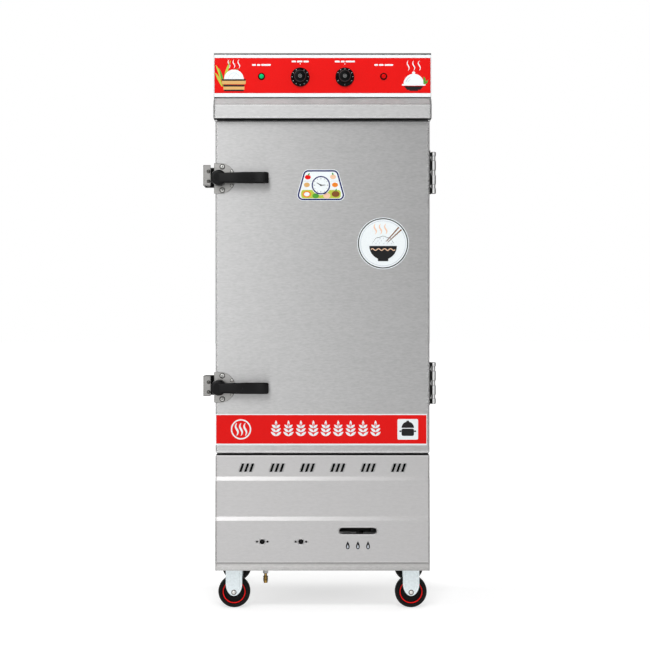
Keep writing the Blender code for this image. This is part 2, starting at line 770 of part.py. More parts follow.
def build_front_frame():
    """A flat ring before the casing's edges, with a lip that enters the liner."""
    low, high = BASE_TOP + SEAT_GAP, ROOF_TOP - SEAT_GAP
    size = (CABINET_WIDTH, PLATE, high - low)
    centre = (0, FRAME_Y + PLATE / 2, (low + high) / 2)
    frame = node("front_frame", box_mesh("front_frame", size), centre, "brushed_steel")
    opening_height = OPENING_TOP - OPENING_BOTTOM
    opening_z = (OPENING_TOP + OPENING_BOTTOM) / 2
    lip_size = (
        2 * (OPENING_HALF_WIDTH + PLATE),
        FRAME_LIP_DEPTH,
        opening_height + 2 * PLATE,
    )
    lip_y = FRAME_Y + FRAME_LIP_DEPTH / 2
    lip = box_mesh("frame_lip", lip_size)
    inner_lip = tool("frame_lip", lip, (0, lip_y + PLATE / 2, opening_z))
    join(frame, inner_lip)
    hole_size = (2 * OPENING_HALF_WIDTH, FRAME_LIP_DEPTH + 2 * OVERRUN, opening_height)
    cut(frame, tool("frame_opening", box_mesh("frame_opening", hole_size), (0, lip_y, opening_z)))


def liner_outline(inset, front_overrun):
    """Side view of chamber and tank, drawn in by a wall and run out past the open front."""
    front, back = CASING_FRONT_Y, LINER_BACK_Y - inset
    open_front = front - front_overrun
    tank_front = front + LEDGE_DEPTH + inset
    tank_back = back - LEDGE_DEPTH
    ledge = LEDGE_Z + inset
    return [
        (open_front, LINER_TOP - inset),
        (open_front, ledge),
        (tank_front, ledge - LEDGE_FALL),
        (tank_front, TANK_BOTTOM + inset),
        (tank_back, TANK_BOTTOM + inset),
        (tank_back, ledge - LEDGE_FALL),
        (back, ledge),
        (back, LINER_TOP - inset),
    ]


def build_liner():
    """Steam chamber and water tank in one, with a ledge that carries the baffle."""
    mesh = outline_mesh("inner_liner", [liner_outline(0, 0)], 2 * LINER_HALF_WIDTH, "X")
    liner = node("inner_liner", mesh, (0, 0, 0), "liner_steel")
    room_width = 2 * (LINER_HALF_WIDTH - SHEET)
    room = outline_mesh("liner_room", [liner_outline(SHEET, OVERRUN)], room_width, "X")
    cut(liner, tool("liner_room", room, (0, 0, 0)))
    for side in (-1, 1):
        hole = rod_mesh("element_hole", ELEMENT_RADIUS + RUN_GAP, 2 * OVERRUN, "Y")
        at = (side * ELEMENT_HALF_WIDTH, LINER_BACK_Y - LEDGE_DEPTH, ELEMENT_Z)
        cut(liner, tool("element_hole", hole, at))
    drain = rod_mesh("tank_drain_hole", DRAIN_RADIUS - PLATE, 2 * OVERRUN, "Y")
    at = (DRAIN_X, LINER_BACK_Y - LEDGE_DEPTH, DRAIN_Z)
    cut(liner, tool("tank_drain_hole", drain, at))
    steam = rod_mesh("liner_steam_hole", STEAM_BORE_RADIUS, 2 * OVERRUN, "Z", ROUND_STEPS)
    cut(liner, tool("liner_steam_hole", steam, (STEAM_X, STEAM_Y, LINER_TOP)))


def build_insulation():
    half_width = HALF_WIDTH - SHEET - SEAT_GAP
    front, back = CASING_FRONT_Y, BACK_Y - SHEET - SEAT_GAP
    bottom, top = LEDGE_Z + SHEET, ROOF_TOP - 2 * SEAT_GAP - SHEET
    size = (2 * half_width, back - front, top - bottom)
    centre = (0, (front + back) / 2, (bottom + top) / 2)
    wool = node("insulation", box_mesh("insulation", size), centre, "foam")
    bevel(wool, BEND)
    room_back = LINER_BACK_Y + SEAT_GAP
    room_top = LINER_TOP + SEAT_GAP
    room_front, room_bottom = front - OVERRUN, bottom - OVERRUN
    room = (
        2 * (LINER_HALF_WIDTH + SEAT_GAP),
        room_back - room_front,
        room_top - room_bottom,
    )
    room_centre = (0, (room_back + room_front) / 2, (room_top + room_bottom) / 2)
    cut(wool, tool("insulation_room", box_mesh("insulation_room", room), room_centre))
    length = ROOF_TOP - LINER_TOP + 2 * OVERRUN
    steam = rod_mesh("wool_steam_hole", STEAM_RADIUS + RUN_GAP, length, "Z", ROUND_STEPS)
    at = (STEAM_X, STEAM_Y, (ROOF_TOP + LINER_TOP) / 2)
    cut(wool, tool("wool_steam_hole", steam, at))


def build_baffle():
    front = CASING_FRONT_Y + BAFFLE_MARGIN
    back = LINER_BACK_Y - BAFFLE_MARGIN
    slotted = back - front - 2 * BAFFLE_RIM
    slot_length = (slotted - (BAFFLE_SLOT_ROWS - 1) * BAFFLE_BRIDGE) / BAFFLE_SLOT_ROWS
    holes = []
    for row in range(BAFFLE_SLOT_ROWS):
        y = front + BAFFLE_RIM + slot_length / 2 + row * (slot_length + BAFFLE_BRIDGE)
        for column in range(BAFFLE_SLOT_COLUMNS):
            x = (column - (BAFFLE_SLOT_COLUMNS - 1) / 2) * BAFFLE_SLOT_PITCH
            slot = obround((y, x), slot_length, BAFFLE_SLOT_WIDTH, 2)
            holes.append([(across, along) for along, across in slot])
    half_width = LINER_HALF_WIDTH - BAFFLE_MARGIN
    plate = [rectangle(-half_width, half_width, front, back)] + holes
    mesh = outline_mesh("steam_baffle", plate, PLATE, "Z")
    node("steam_baffle", mesh, (0, 0, baffle_top() - PLATE / 2), "liner_steel")


def baffle_top():
    return LEDGE_Z + SHEET + SEAT_GAP + PLATE


# Rack and trays

def runner_z(level):
    return FIRST_RUNNER_Z + level * TRAY_PITCH


def build_rack():
    """A welded lift-out rack: four posts, cross bars and a pair of runners for each tray."""
    foot = baffle_top() + SEAT_GAP
    head = runner_z(TRAY_COUNT - 1) + RACK_HEAD
    height = head - foot
    post_x = RACK_HALF_WIDTH - POST_SIZE / 2
    size = (POST_SIZE, POST_SIZE, height)
    at = (-post_x, -POST_Y, foot + height / 2)
    rack = node("tray_rack", box_mesh("tray_rack", size), at, "liner_steel")
    for x, y in ((post_x, -POST_Y), (-post_x, POST_Y), (post_x, POST_Y)):
        join(rack, tool("rack_post", box_mesh("rack_post", size), (x, y, foot + height / 2)))
    inner = RACK_HALF_WIDTH - POST_SIZE + OVERLAP
    for side in (-1, 1):
        for level in range(TRAY_COUNT):
            z = runner_z(level)
            angle = [
                (side * inner, z),
                (side * (inner - RUNNER_LEG), z),
                (side * (inner - RUNNER_LEG), z - PLATE),
                (side * (inner + OVERLAP), z - PLATE),
                (side * (inner + OVERLAP), z + RUNNER_UPSTAND),
                (side * inner, z + RUNNER_UPSTAND),
            ]
            runner = outline_mesh("runner", [angle], RUNNER_LENGTH, "Y")
            join(rack, tool("runner", runner, (0, 0, 0)))
    bar = (2 * RACK_HALF_WIDTH - POST_SIZE, CROSS_BAR_SIZE, CROSS_BAR_SIZE)
    for y, z in ((POST_Y, head), (-POST_Y, head), (POST_Y, foot + POST_SIZE)):
        at = (0, y, z - CROSS_BAR_SIZE / 2 - OVERLAP)
        join(rack, tool("rack_bar", box_mesh("rack_bar", bar), at))


def tray_mesh():
    """A pressed tray: tapered sides, round corners and a flat rim."""
    half_width = TRAY_RIM_HALF_WIDTH - TRAY_RIM
    half_depth = TRAY_RIM_HALF_DEPTH - TRAY_RIM
    bm = bmesh.new()
    bmesh.ops.create_cube(bm, size=1)
    size = (2 * half_width, 2 * half_depth, TRAY_HEIGHT)
    bmesh.ops.scale(bm, vec=size, verts=bm.verts)
    upright = [e for e in bm.edges if abs(e.verts[0].co.z - e.verts[1].co.z) > TRAY_HEIGHT / 2]
    bmesh.ops.bevel(
        bm, geom=upright, offset=TRAY_CORNER, segments=3, profile=0.5, affect="EDGES"
    )
    bm.normal_update()
    lid = [f for f in bm.faces if f.normal.z > 0.5]
    bmesh.ops.delete(bm, geom=lid, context="FACES_ONLY")
    floor = [v for v in bm.verts if v.co.z < 0]
    shrink = ((half_width - TRAY_TAPER) / half_width, (half_depth - TRAY_TAPER) / half_depth, 1)
    bmesh.ops.scale(bm, vec=shrink, verts=floor)
    around = [e for e in bm.edges if e.verts[0].co.z < 0 and e.verts[1].co.z < 0]
    bmesh.ops.bevel(
        bm, geom=around, offset=TRAY_FLOOR_BEND, segments=1, profile=0.5, affect="EDGES"
    )
    edge = [e for e in bm.edges if e.is_boundary]
    grown = bmesh.ops.extrude_edge_only(bm, edges=edge)["geom"]
    for vert in (item for item in grown if isinstance(item, bmesh.types.BMVert)):
        straight_x = half_width - TRAY_CORNER
        straight_y = half_depth - TRAY_CORNER
        corner = Vector(
            (
                math.copysign(max(abs(vert.co.x) - straight_x, 0), vert.co.x),
                math.copysign(max(abs(vert.co.y) - straight_y, 0), vert.co.y),
                0,
            )
        )
        vert.co += corner.normalized() * TRAY_RIM
    return mesh_of("tray", bm)


def build_trays():
    mesh = tray_mesh()
    for level in range(TRAY_COUNT):
        z = runner_z(level) + THIN_SHEET + SEAT_GAP + TRAY_HEIGHT / 2
        tray = node(f"tray_{level + 1:02d}", mesh.copy(), (0, 0, z), "liner_steel")
        solidify(tray, THIN_SHEET, outward=True)


# Control box and hood

def build_hood():
    back = FRAME_Y - SEAT_GAP
    top = ROOF_TOP - SEAT_GAP
    outline = [
        (back, HOOD_BOTTOM),
        (HOOD_Y, HOOD_BOTTOM),
        (HOOD_Y, HOOD_BEND_Z),
        (CONTROL_Y, top),
        (back, top),
    ]
    mesh = folded_mesh("drip_hood", outline, CABINET_WIDTH + 2 * HOOD_OVERHANG, (0, 4))
    hood = node("drip_hood", mesh, (0, 0, 0), "brushed_steel")
    bevel(hood, HOOD_CORNER, 2, 50)
    solidify(hood, SHEET)


def control_half_width():
    return HALF_WIDTH + CONTROL_OVERHANG


def build_control_cover():
    front = CONTROL_Y + CONTROL_SHEET + SEAT_GAP
    back = CONTROL_Y + CONTROL_BOX_DEPTH
    bottom = ROOF_TOP + SEAT_GAP
    outline = [(front, PANEL_TOP), (front, bottom), (back, bottom), (back, PANEL_TOP)]
    mesh = folded_mesh("control_box_cover", outline, 2 * control_half_width(), (0, 1))
    cover = node("control_box_cover", mesh, (0, 0, 0), "brushed_steel")
    solidify(cover, SHEET)
    gland = rod_mesh("gland_hole", GLAND_THREAD_RADIUS + RUN_GAP, 2 * OVERRUN, "Y")
    cut(cover, tool("gland_hole", gland, (GLAND_X, back, GLAND_Z)))


def build_control_panel():
    half_width = control_half_width()
    bottom = ROOF_TOP + SEAT_GAP
    height = PANEL_TOP - bottom
    middle_z = bottom + height / 2
    size = (2 * half_width, CONTROL_SHEET, height)
    centre = (0, CONTROL_Y + CONTROL_SHEET / 2, middle_z)
    panel = node("control_panel", box_mesh("control_panel", size), centre, "red_label")
    inset = SHEET + SEAT_GAP
    ring_size = (2 * (half_width - inset), CONTROL_FLANGE, height - 2 * inset)
    ring_y = CONTROL_Y + CONTROL_SHEET / 2 + CONTROL_FLANGE / 2
    flange = tool(
        "panel_flange", box_mesh("panel_flange", ring_size, ("+Y", "-Y")), (0, ring_y, middle_z)
    )
    solidify(flange, SHEET)
    join(panel, flange)
    for side in (-1, 1):
        hole = rod_mesh("knob_hole", COLLAR_RADIUS + RUN_GAP, 2 * OVERRUN, "Y")
        cut(panel, tool("knob_hole", hole, (side * KNOB_X, CONTROL_Y, KNOB_Z)))
    for x in LAMP_X:
        hole = rod_mesh("lamp_hole", LAMP_BARREL_RADIUS + RUN_GAP, 2 * OVERRUN, "Y")
        cut(panel, tool("lamp_hole", hole, (x, CONTROL_Y, LAMP_Z)))


def build_switch(name, x):
    """A switch body behind the panel, with its collar and spindle through it."""
    seat = CONTROL_Y + CONTROL_SHEET + SEAT_GAP
    size = (SWITCH_BODY, SWITCH_DEPTH, SWITCH_BODY)
    centre = (x, seat + SWITCH_DEPTH / 2, KNOB_Z)
    body = node(name, box_mesh(name, size), centre, "black_plastic")
    bevel(body, PLATE)
    collar_length = CONTROL_SHEET + SEAT_GAP + OVERLAP
    collar = rod_mesh("collar", COLLAR_RADIUS, collar_length, "Y")
    join(body, tool("collar", collar, (x, seat + OVERLAP - collar_length / 2, KNOB_Z)))
    tip = CONTROL_Y - SEAT_GAP - SPINDLE_LENGTH + OVERLAP
    spindle_length = seat + OVERLAP - tip
    spindle = rod_mesh("spindle", SPINDLE_RADIUS, spindle_length, "Y")
    join(body, tool("spindle", spindle, (x, tip + spindle_length / 2, KNOB_Z)))


def build_knob(name, x):
    bore = SPINDLE_RADIUS + RUN_GAP
    profile = [
        (0, KNOB_HEIGHT),
        (KNOB_GRIP_RADIUS - KNOB_EDGE, KNOB_HEIGHT),
        (KNOB_GRIP_RADIUS, KNOB_HEIGHT - KNOB_EDGE),
        (KNOB_GRIP_RADIUS, KNOB_SHOULDER_HEIGHT),
        (KNOB_SHOULDER_RADIUS, KNOB_SHOULDER_HEIGHT),
        (KNOB_SKIRT_RADIUS, KNOB_SKIRT_HEIGHT),
        (KNOB_SKIRT_RADIUS, 0),
        (bore, 0),
        (bore, KNOB_BORE_DEPTH + RUN_GAP),
        (0, KNOB_BORE_DEPTH + RUN_GAP),
    ]
    at = (x, CONTROL_Y - SEAT_GAP - RUN_GAP, KNOB_Z)
    turned(name, profile, at, "black_plastic", "Y")


def build_lamp(name, x, finish):
    seat = -SEAT_GAP - CONTROL_SHEET - SEAT_GAP
    profile = [
        (0, LAMP_LENS_HEIGHT),
        (LAMP_LENS_RADIUS * LAMP_CROWN_SHARE, LAMP_LENS_HEIGHT - LAMP_LENS_RADIUS * LAMP_CROWN_DROP_SHARE),
        (LAMP_LENS_RADIUS, LAMP_BEZEL_HEIGHT + LAMP_LENS_RADIUS * LAMP_WALL_SHARE),
        (LAMP_LENS_RADIUS, LAMP_BEZEL_HEIGHT),
        (LAMP_BEZEL_RADIUS, LAMP_BEZEL_HEIGHT),
        (LAMP_BEZEL_RADIUS, 0),
        (LAMP_BARREL_RADIUS, 0),
        (LAMP_BARREL_RADIUS, seat),
        (LAMP_BEZEL_RADIUS, seat),
        (LAMP_BEZEL_RADIUS, seat - LAMP_NUT_HEIGHT),
        (LAMP_BARREL_RADIUS, seat - LAMP_NUT_HEIGHT),
        (LAMP_BARREL_RADIUS, -LAMP_BARREL_LENGTH),
        (0, -LAMP_BARREL_LENGTH),
    ]
    turned(name, profile, (x, CONTROL_Y - SEAT_GAP, LAMP_Z), finish, "Y", SMALL_STEPS)


def build_gland():
    """The power cable's gland in the back of the control box."""
    back = CONTROL_Y + CONTROL_BOX_DEPTH
    profile = [
        (GLAND_THREAD_RADIUS, GLAND_THREAD_LENGTH),
        (GLAND_THREAD_RADIUS, -SEAT_GAP),
        (GLAND_RADIUS, -SEAT_GAP),
        (GLAND_RADIUS, -GLAND_LENGTH + GLAND_BORE_RADIUS),
        (GLAND_BORE_RADIUS + PLATE, -GLAND_LENGTH),
        (GLAND_BORE_RADIUS, -GLAND_LENGTH),
        (GLAND_BORE_RADIUS, GLAND_THREAD_LENGTH),
    ]
    at = (GLAND_X, back, GLAND_Z)
    turned("cable_gland", profile, at, "black_plastic", "Y", SMALL_STEPS, closed=True)


# Door

def build_door(axis):
    middle_z = (DOOR_BOTTOM + DOOR_TOP) / 2
    depth = DOOR_THICKNESS - SHEET
    size = (CABINET_WIDTH, depth, DOOR_HEIGHT)
    centre = (0, FACE_Y + depth / 2, middle_z)
    skin = node("door_skin", box_mesh("door_skin", size, ("+Y",)), centre, "brushed_steel", axis)
    bevel(skin, DOOR_EDGE_RADIUS, 3, 50)
    solidify(skin, SHEET)

    inset = SHEET + SEAT_GAP
    core_depth = DOOR_THICKNESS - inset
    core_size = (CABINET_WIDTH - 2 * inset, core_depth, DOOR_HEIGHT - 2 * inset)
    core_y = DOOR_BACK_Y - core_depth / 2
    core_mesh = box_mesh("door_liner", core_size)
    core = node("door_liner", core_mesh, (0, core_y, middle_z), "liner_steel", axis)
    bevel(core, DOOR_EDGE_RADIUS, 2, 50)
    plug_size = (
        2 * (OPENING_HALF_WIDTH - PLUG_GAP),
        PLUG_HEIGHT + OVERLAP,
        OPENING_TOP - OPENING_BOTTOM - 2 * PLUG_GAP,
    )
    plug_at = (
        0,
        DOOR_BACK_Y + PLUG_HEIGHT / 2 - OVERLAP / 2,
        (OPENING_TOP + OPENING_BOTTOM) / 2,
    )
    plug = tool("door_plug", box_mesh("door_plug", plug_size), plug_at)
    bevel(plug, PLUG_EDGE, 2, 50)
    join(core, plug)

    loop = round_rectangle(
        OPENING_HALF_WIDTH + GASKET_MARGIN,
        (OPENING_TOP - OPENING_BOTTOM) / 2 + GASKET_MARGIN,
        GASKET_CORNER,
    )
    points = [(x, 0, z) for x, z in loop]
    gasket = tube_mesh("door_gasket", points, GASKET_RADIUS, 2, cyclic=True)
    at = (0, (DOOR_BACK_Y + FRAME_Y) / 2, (OPENING_TOP + OPENING_BOTTOM) / 2)
    node("door_gasket", gasket, at, "gasket", axis)


# Hinges

def hinge_arm(side):
    """Plan of the arm from a leaf to its knuckle, before (-1) or behind (1) the pin."""
    root = HALF_WIDTH + SEAT_GAP - HINGE_X
    outer = root + HINGE_LEAF_THICKNESS
    start = HINGE_LEAF_SETBACK
    reach = HINGE_RADIUS - OVERLAP
    return [
        (root, side * start),
        (0, side * OVERLAP),
        (OVERLAP, side * reach),
        (outer, side * (start + HINGE_RADIUS + OVERLAP)),
        (root, side * (start + HINGE_RADIUS + OVERLAP)),
    ]


def hinge_leaf(name, z, side, knuckle_low, knuckle_high, parent):
    """A leaf on the side face with its arm and knuckle, whose origin is on the pin's axis."""
    low, high = knuckle_low + SEAT_GAP, knuckle_high - SEAT_GAP
    middle = (low + high) / 2
    mesh = rod_mesh(name, HINGE_RADIUS, high - low, "Z", SMALL_STEPS)
    mesh.transform(Matrix.Translation((0, 0, middle)))
    leaf = node(name, mesh, (HINGE_X, HINGE_Y, z), "zinc", parent)
    arm = outline_mesh("hinge_arm", [hinge_arm(side)], high - low, "Z")
    join(leaf, tool("hinge_arm", arm, (HINGE_X, HINGE_Y, z + middle)))
    plate_x = HALF_WIDTH + SEAT_GAP + HINGE_LEAF_THICKNESS / 2
    plate_y = HINGE_Y + side * (HINGE_LEAF_SETBACK + HINGE_LEAF_DEPTH / 2)
    size = (HINGE_LEAF_THICKNESS, HINGE_LEAF_DEPTH, 2 * HINGE_HALF_HEIGHT)
    join(leaf, tool("hinge_plate", box_mesh("hinge_plate", size), (plate_x, plate_y, z)))
    return leaf


def pin_profile():
    """Finials at both ends, round necks, and a plain pin inside the knuckles."""
    top = HINGE_HALF_HEIGHT
    stops = [top]
    for length in (
        HINGE_CAP,
        HINGE_TOP_NECK,
        HINGE_DOOR_KNUCKLE,
        HINGE_MIDDLE_NECK,
        HINGE_FRAME_KNUCKLE,
        HINGE_LOW_NECK,
    ):
        stops.append(stops[-1] - length)
    cap, neck, knuckle, middle, lower, end = stops[1:]
    edge = HINGE_RADIUS - HINGE_NECK_RADIUS
    profile = [(0, top), (HINGE_NECK_RADIUS, top), (HINGE_RADIUS, top - edge), (HINGE_RADIUS, cap)]
    for high, low in ((cap, neck), (knuckle, middle), (lower, end)):
        half = (high - low) / 2
        profile += [
            (HINGE_PIN_RADIUS, high),
            (HINGE_NECK_RADIUS, high - half / 2),
            (HINGE_NECK_RADIUS, low + half / 2),
            (HINGE_PIN_RADIUS, low),
        ]
    profile += [
        (HINGE_RADIUS, end),
        (HINGE_RADIUS, -top + edge),
        (HINGE_NECK_RADIUS, -top),
        (0, -top),
    ]
    return profile, neck, knuckle, middle, lower


def build_hinge(name, z, axis):
    profile, neck, knuckle, middle, lower = pin_profile()
    door_leaf = hinge_leaf(f"{name}_hinge_door_leaf", z, -1, knuckle, neck, axis)
    length = HINGE_DOOR_KNUCKLE + 2 * OVERRUN
    bore = rod_mesh("knuckle_bore", HINGE_PIN_RADIUS + RUN_GAP, length, "Z")
    at = (HINGE_X, HINGE_Y, z + (neck + knuckle) / 2)
    cut(door_leaf, tool("knuckle_bore", bore, at))
    frame_leaf = hinge_leaf(f"{name}_hinge_frame_leaf", z, 1, lower, middle, None)
    pin = tool("hinge_pin", turned_mesh("hinge_pin", profile), (HINGE_X, HINGE_Y, z))
    screw(pin, SMALL_STEPS)
    join(frame_leaf, pin)


# Latches

def build_latch_plate(name, z, axis):
    """A half-round plate whose straight edge stands past the door's edge."""
    left = LATCH_PLATE_LEFT
    radius = LATCH_PLATE_HALF_HEIGHT
    centre_x = LATCH_PLATE_RIGHT - radius
    outline = [(left, -radius)] + arc((centre_x, 0), radius, -90, 90, 14) + [(left, radius)]
    outline = [(x - LATCH_X, height) for x, height in outline]
    mesh = outline_mesh(name, [outline], LATCH_PLATE_THICKNESS, "Y")
    y = FACE_Y - SEAT_GAP - LATCH_PLATE_THICKNESS / 2
    node(name, mesh, (LATCH_X, y, z), "brushed_steel", axis)


def lever_plan():
    """Plan of the handle: it rises from the hub and then runs level, clear of the door."""
    hub_front = HUB_DEPTH
    front = hub_front + LEVER_RISE
    back = front - LEVER_THICKNESS
    end = LEVER_REACH
    grip_far, grip_near = LEVER_GRIP_SHARES
    return [
        (0, hub_front - LEVER_THICKNESS),
        (LEVER_CRANK, back),
        (end - LEVER_EDGE, back),
        (end, back + LEVER_EDGE),
        (end, front - LEVER_EDGE),
        (end - LEVER_EDGE, front - LEVER_EDGE / 4),
        (end * grip_far, front - LEVER_EDGE / 2),
        (end * grip_near, front - LEVER_EDGE / 4),
        (LEVER_CRANK, front),
        (0, hub_front),
    ]


def build_latch_lever(name, z, axis):
    """The lever's origin is on its axis, where the hub meets the latch plate."""
    seat = FACE_Y - SEAT_GAP - LATCH_PLATE_THICKNESS - SEAT_GAP
    profile = [
        (0, HUB_DEPTH),
        (HUB_RADIUS - HUB_EDGE, HUB_DEPTH),
        (HUB_RADIUS, HUB_DEPTH - HUB_EDGE),
        (HUB_RADIUS, 0),
        (0, 0),
    ]
    lever = turned(name, profile, (LATCH_X, seat, z), "black_plastic", "Y", parent=axis)
    plan = [(x, -depth) for x, depth in lever_plan()]
    arm_mesh = outline_mesh("lever_arm", [plan], 2 * LEVER_HALF_HEIGHT, "Z")
    arm = tool("lever_arm", arm_mesh, (LATCH_X, seat, z))
    bevel(arm, LEVER_EDGE / 2, 2, 50)
    join(lever, arm)
    cam_reach = HUB_RADIUS + CAM_PROUD
    cam_size = (cam_reach, CAM_DEPTH, 2 * CAM_HALF_HEIGHT)
    cam_at = (LATCH_X - cam_reach / 2, seat - CAM_DEPTH / 2 - RUN_GAP, z)
    join(lever, tool("lever_cam", box_mesh("lever_cam", cam_size), cam_at))


def build_keeper(name, z):
    """A bent strip: a leg on the casing's side, a web, a side wall and the lip before the cam."""
    wall_x = KEEPER_LEFT + KEEPER_THICKNESS
    lip_edge = LATCH_X - HUB_RADIUS - CAM_PROUD - KEEPER_GAP
    leg_x = -HALF_WIDTH - SEAT_GAP
    path = [
        (leg_x, FRAME_Y + KEEPER_LEG),
        (leg_x, FRAME_Y),
        (wall_x, FRAME_Y),
        (wall_x, KEEPER_LIP_Y),
        (lip_edge, KEEPER_LIP_Y),
    ]
    path = [(x + HALF_WIDTH, y - FRAME_Y) for x, y in path]
    mesh = ribbon_mesh(name, path, KEEPER_HEIGHT, "Z")
    keeper = node(name, mesh, (-HALF_WIDTH, FRAME_Y, z), "brushed_steel")
    solidify(keeper, KEEPER_THICKNESS, outward=True)


# Gas, heat, water and steam

def build_burner():
    """A front tube with three branches under the tank, two feeds and four legs."""
    span = BURNER_RIGHT - BURNER_LEFT
    mesh = rod_mesh("burner", BURNER_RADIUS, span, "X", ROUND_STEPS)
    at = ((BURNER_LEFT + BURNER_RIGHT) / 2, BURNER_Y, BURNER_Z)
    burner = node("burner", mesh, at, "cast_iron")
    for x in BURNER_BRANCH_X:
        length = BURNER_BRANCH_END - BURNER_Y
        branch = rod_mesh("burner_branch", BURNER_BRANCH_RADIUS, length, "Y")
        join(burner, tool("burner_branch", branch, (x, BURNER_Y + length / 2, BURNER_Z)))
    foot = CHASSIS_FLOOR + SEAT_GAP
    for x in (BURNER_BRANCH_X[0], BURNER_BRANCH_X[-1]):
        for y in BURNER_LEG_Y:
            size = (BURNER_LEG_SIZE, BURNER_LEG_SIZE, BURNER_Z - foot)
            leg = box_mesh("burner_leg", size)
            join(burner, tool("burner_leg", leg, (x, y, (BURNER_Z + foot) / 2)))
    low = VALVE_Z + VALVE_BODY_RADIUS + SEAT_GAP
    for x in VALVE_X:
        bend = MANIFOLD_RADIUS
        elbow = arc((MANIFOLD_Y + bend, BURNER_Z - bend), bend, 180, 90, 4)
        points = [(0, y - BURNER_Y, z - BURNER_Z) for y, z in [(MANIFOLD_Y, low)] + elbow]
        points.append((0, 0, 0))
        feed = tube_mesh("burner_feed", points, FEED_RADIUS, 2)
        join(burner, tool("burner_feed", feed, (x, BURNER_Y, BURNER_Z)))


def build_manifold():
    """A cross pipe with two valves, whose stems end behind the panel's holes, and a riser."""
    span = MANIFOLD_RIGHT - MANIFOLD_LEFT
    middle = (MANIFOLD_LEFT + MANIFOLD_RIGHT) / 2
    mesh = rod_mesh("gas_manifold", MANIFOLD_RADIUS, span, "X")
    manifold = node("gas_manifold", mesh, (middle, MANIFOLD_Y, VALVE_Z), "brass")
    stem_end = LOW_BAND_Y + SHEET + STEM_SETBACK
    for x in VALVE_X:
        body = rod_mesh("valve_body", VALVE_BODY_RADIUS, VALVE_BODY_LENGTH, "Y")
        join(manifold, tool("valve_body", body, (x, MANIFOLD_Y - OVERLAP, VALVE_Z)))
        length = MANIFOLD_Y - stem_end
        stem = rod_mesh("valve_stem", STEM_RADIUS, length, "Y")
        join(manifold, tool("valve_stem", stem, (x, stem_end + length / 2, VALVE_Z)))
    foot = CHASSIS_FLOOR + SEAT_GAP
    bend = RISER_RADIUS * 2
    corner = arc((BARB_Y - bend, VALVE_Z - bend), bend, 0, 90, 4)
    points = [(0, BARB_Y, foot)] + [(0, y, z) for y, z in corner] + [(0, MANIFOLD_Y, VALVE_Z)]
    riser = tube_mesh("riser", points, RISER_RADIUS, 2)
    join(manifold, tool("riser", riser, (BARB_X, 0, 0)))


def build_barb():
    """The hose barb under the chassis, with its nut."""
    top = CHASSIS_UNDERSIDE - SEAT_GAP
    profile = [
        (0, CHASSIS_FLOOR),
        (RISER_RADIUS - RUN_GAP, CHASSIS_FLOOR),
        (RISER_RADIUS - RUN_GAP, top),
        (BARB_NUT_RADIUS, top),
        (BARB_NUT_RADIUS, BARB_NECK_TOP),
        (BARB_NECK_RADIUS, BARB_NECK_TOP),
        (BARB_NECK_RADIUS, BARB_BODY_TOP),
    ]
    height = BARB_BODY_TOP
    while height > BARB_BOTTOM + BARB_RIB_PITCH:
        profile.append((BARB_RADIUS, height))
        profile.append((BARB_RADIUS - BARB_GROOVE, height - BARB_RIB_PITCH + BARB_GROOVE / 2))
        height -= BARB_RIB_PITCH
    profile += [
        (BARB_RADIUS, height),
        (BARB_RADIUS - BARB_GROOVE, BARB_BOTTOM),
        (BARB_BORE_RADIUS, BARB_BOTTOM),
        (BARB_BORE_RADIUS, BARB_BOTTOM + BARB_BORE_DEPTH),
        (0, BARB_BOTTOM + BARB_BORE_DEPTH),
    ]
    profile = [(radius, z - BARB_BOTTOM) for radius, z in profile]
    turned("gas_inlet_barb", profile, (BARB_X, BARB_Y, BARB_BOTTOM), "brass", "Z", SMALL_STEPS)


def build_element():
    """A hairpin element in the tank, with its flange and terminals behind the tank's wall."""
    wall = LINER_BACK_Y - LEDGE_DEPTH
    seat = wall + SEAT_GAP
    end = seat + ELEMENT_FLANGE_THICKNESS + ELEMENT_TERMINAL
    radius = ELEMENT_HALF_WIDTH
    bend_y = ELEMENT_FRONT_Y + radius
    bend = arc((0, bend_y), radius, 180, 360, 10)
    points = [(x, y - wall, 0) for x, y in [(-radius, end)] + bend + [(radius, end)]]
    mesh = tube_mesh("heating_element", points, ELEMENT_RADIUS, 2)
    element = node("heating_element", mesh, (0, wall, ELEMENT_Z), "cast_iron")
    size = (ELEMENT_FLANGE_WIDTH, ELEMENT_FLANGE_THICKNESS, ELEMENT_FLANGE_HEIGHT)
    at = (0, seat + ELEMENT_FLANGE_THICKNESS / 2, ELEMENT_Z)
    join(element, tool("element_flange", box_mesh("element_flange", size), at))


def build_drain():
    """The tank's drain pipe through the casing's back, with its cap."""
    start = LINER_BACK_Y - LEDGE_DEPTH + SEAT_GAP
    end = BACK_Y + DRAIN_PROUD
    tip = end + DRAIN_CAP_LENGTH
    profile = [
        (0, 0),
        (DRAIN_RADIUS, 0),
        (DRAIN_RADIUS, start - end),
        (DRAIN_CAP_RADIUS, start - end),
        (DRAIN_CAP_RADIUS, start - tip),
        (0, start - tip),
    ]
    turned("drain_pipe", profile, (DRAIN_X, start, DRAIN_Z), "brushed_steel", "Y", SMALL_STEPS)


def build_steam_outlet():
    low = LINER_TOP + SEAT_GAP
    flange = ROOF_TOP + SEAT_GAP / 2
    top = ROOF_TOP + STEAM_HEIGHT
    profile = [
        (STEAM_RADIUS, top),
        (STEAM_RADIUS, flange + PLATE),
        (STEAM_FLANGE_RADIUS, flange + PLATE),
        (STEAM_FLANGE_RADIUS, flange),
        (STEAM_RADIUS, flange),
        (STEAM_RADIUS, low),
        (STEAM_BORE_RADIUS, low),
        (STEAM_BORE_RADIUS, top),
    ]
    profile = [(radius, z - low) for radius, z in profile]
    turned("steam_outlet", profile, (STEAM_X, STEAM_Y, low), "brushed_steel", closed=True)


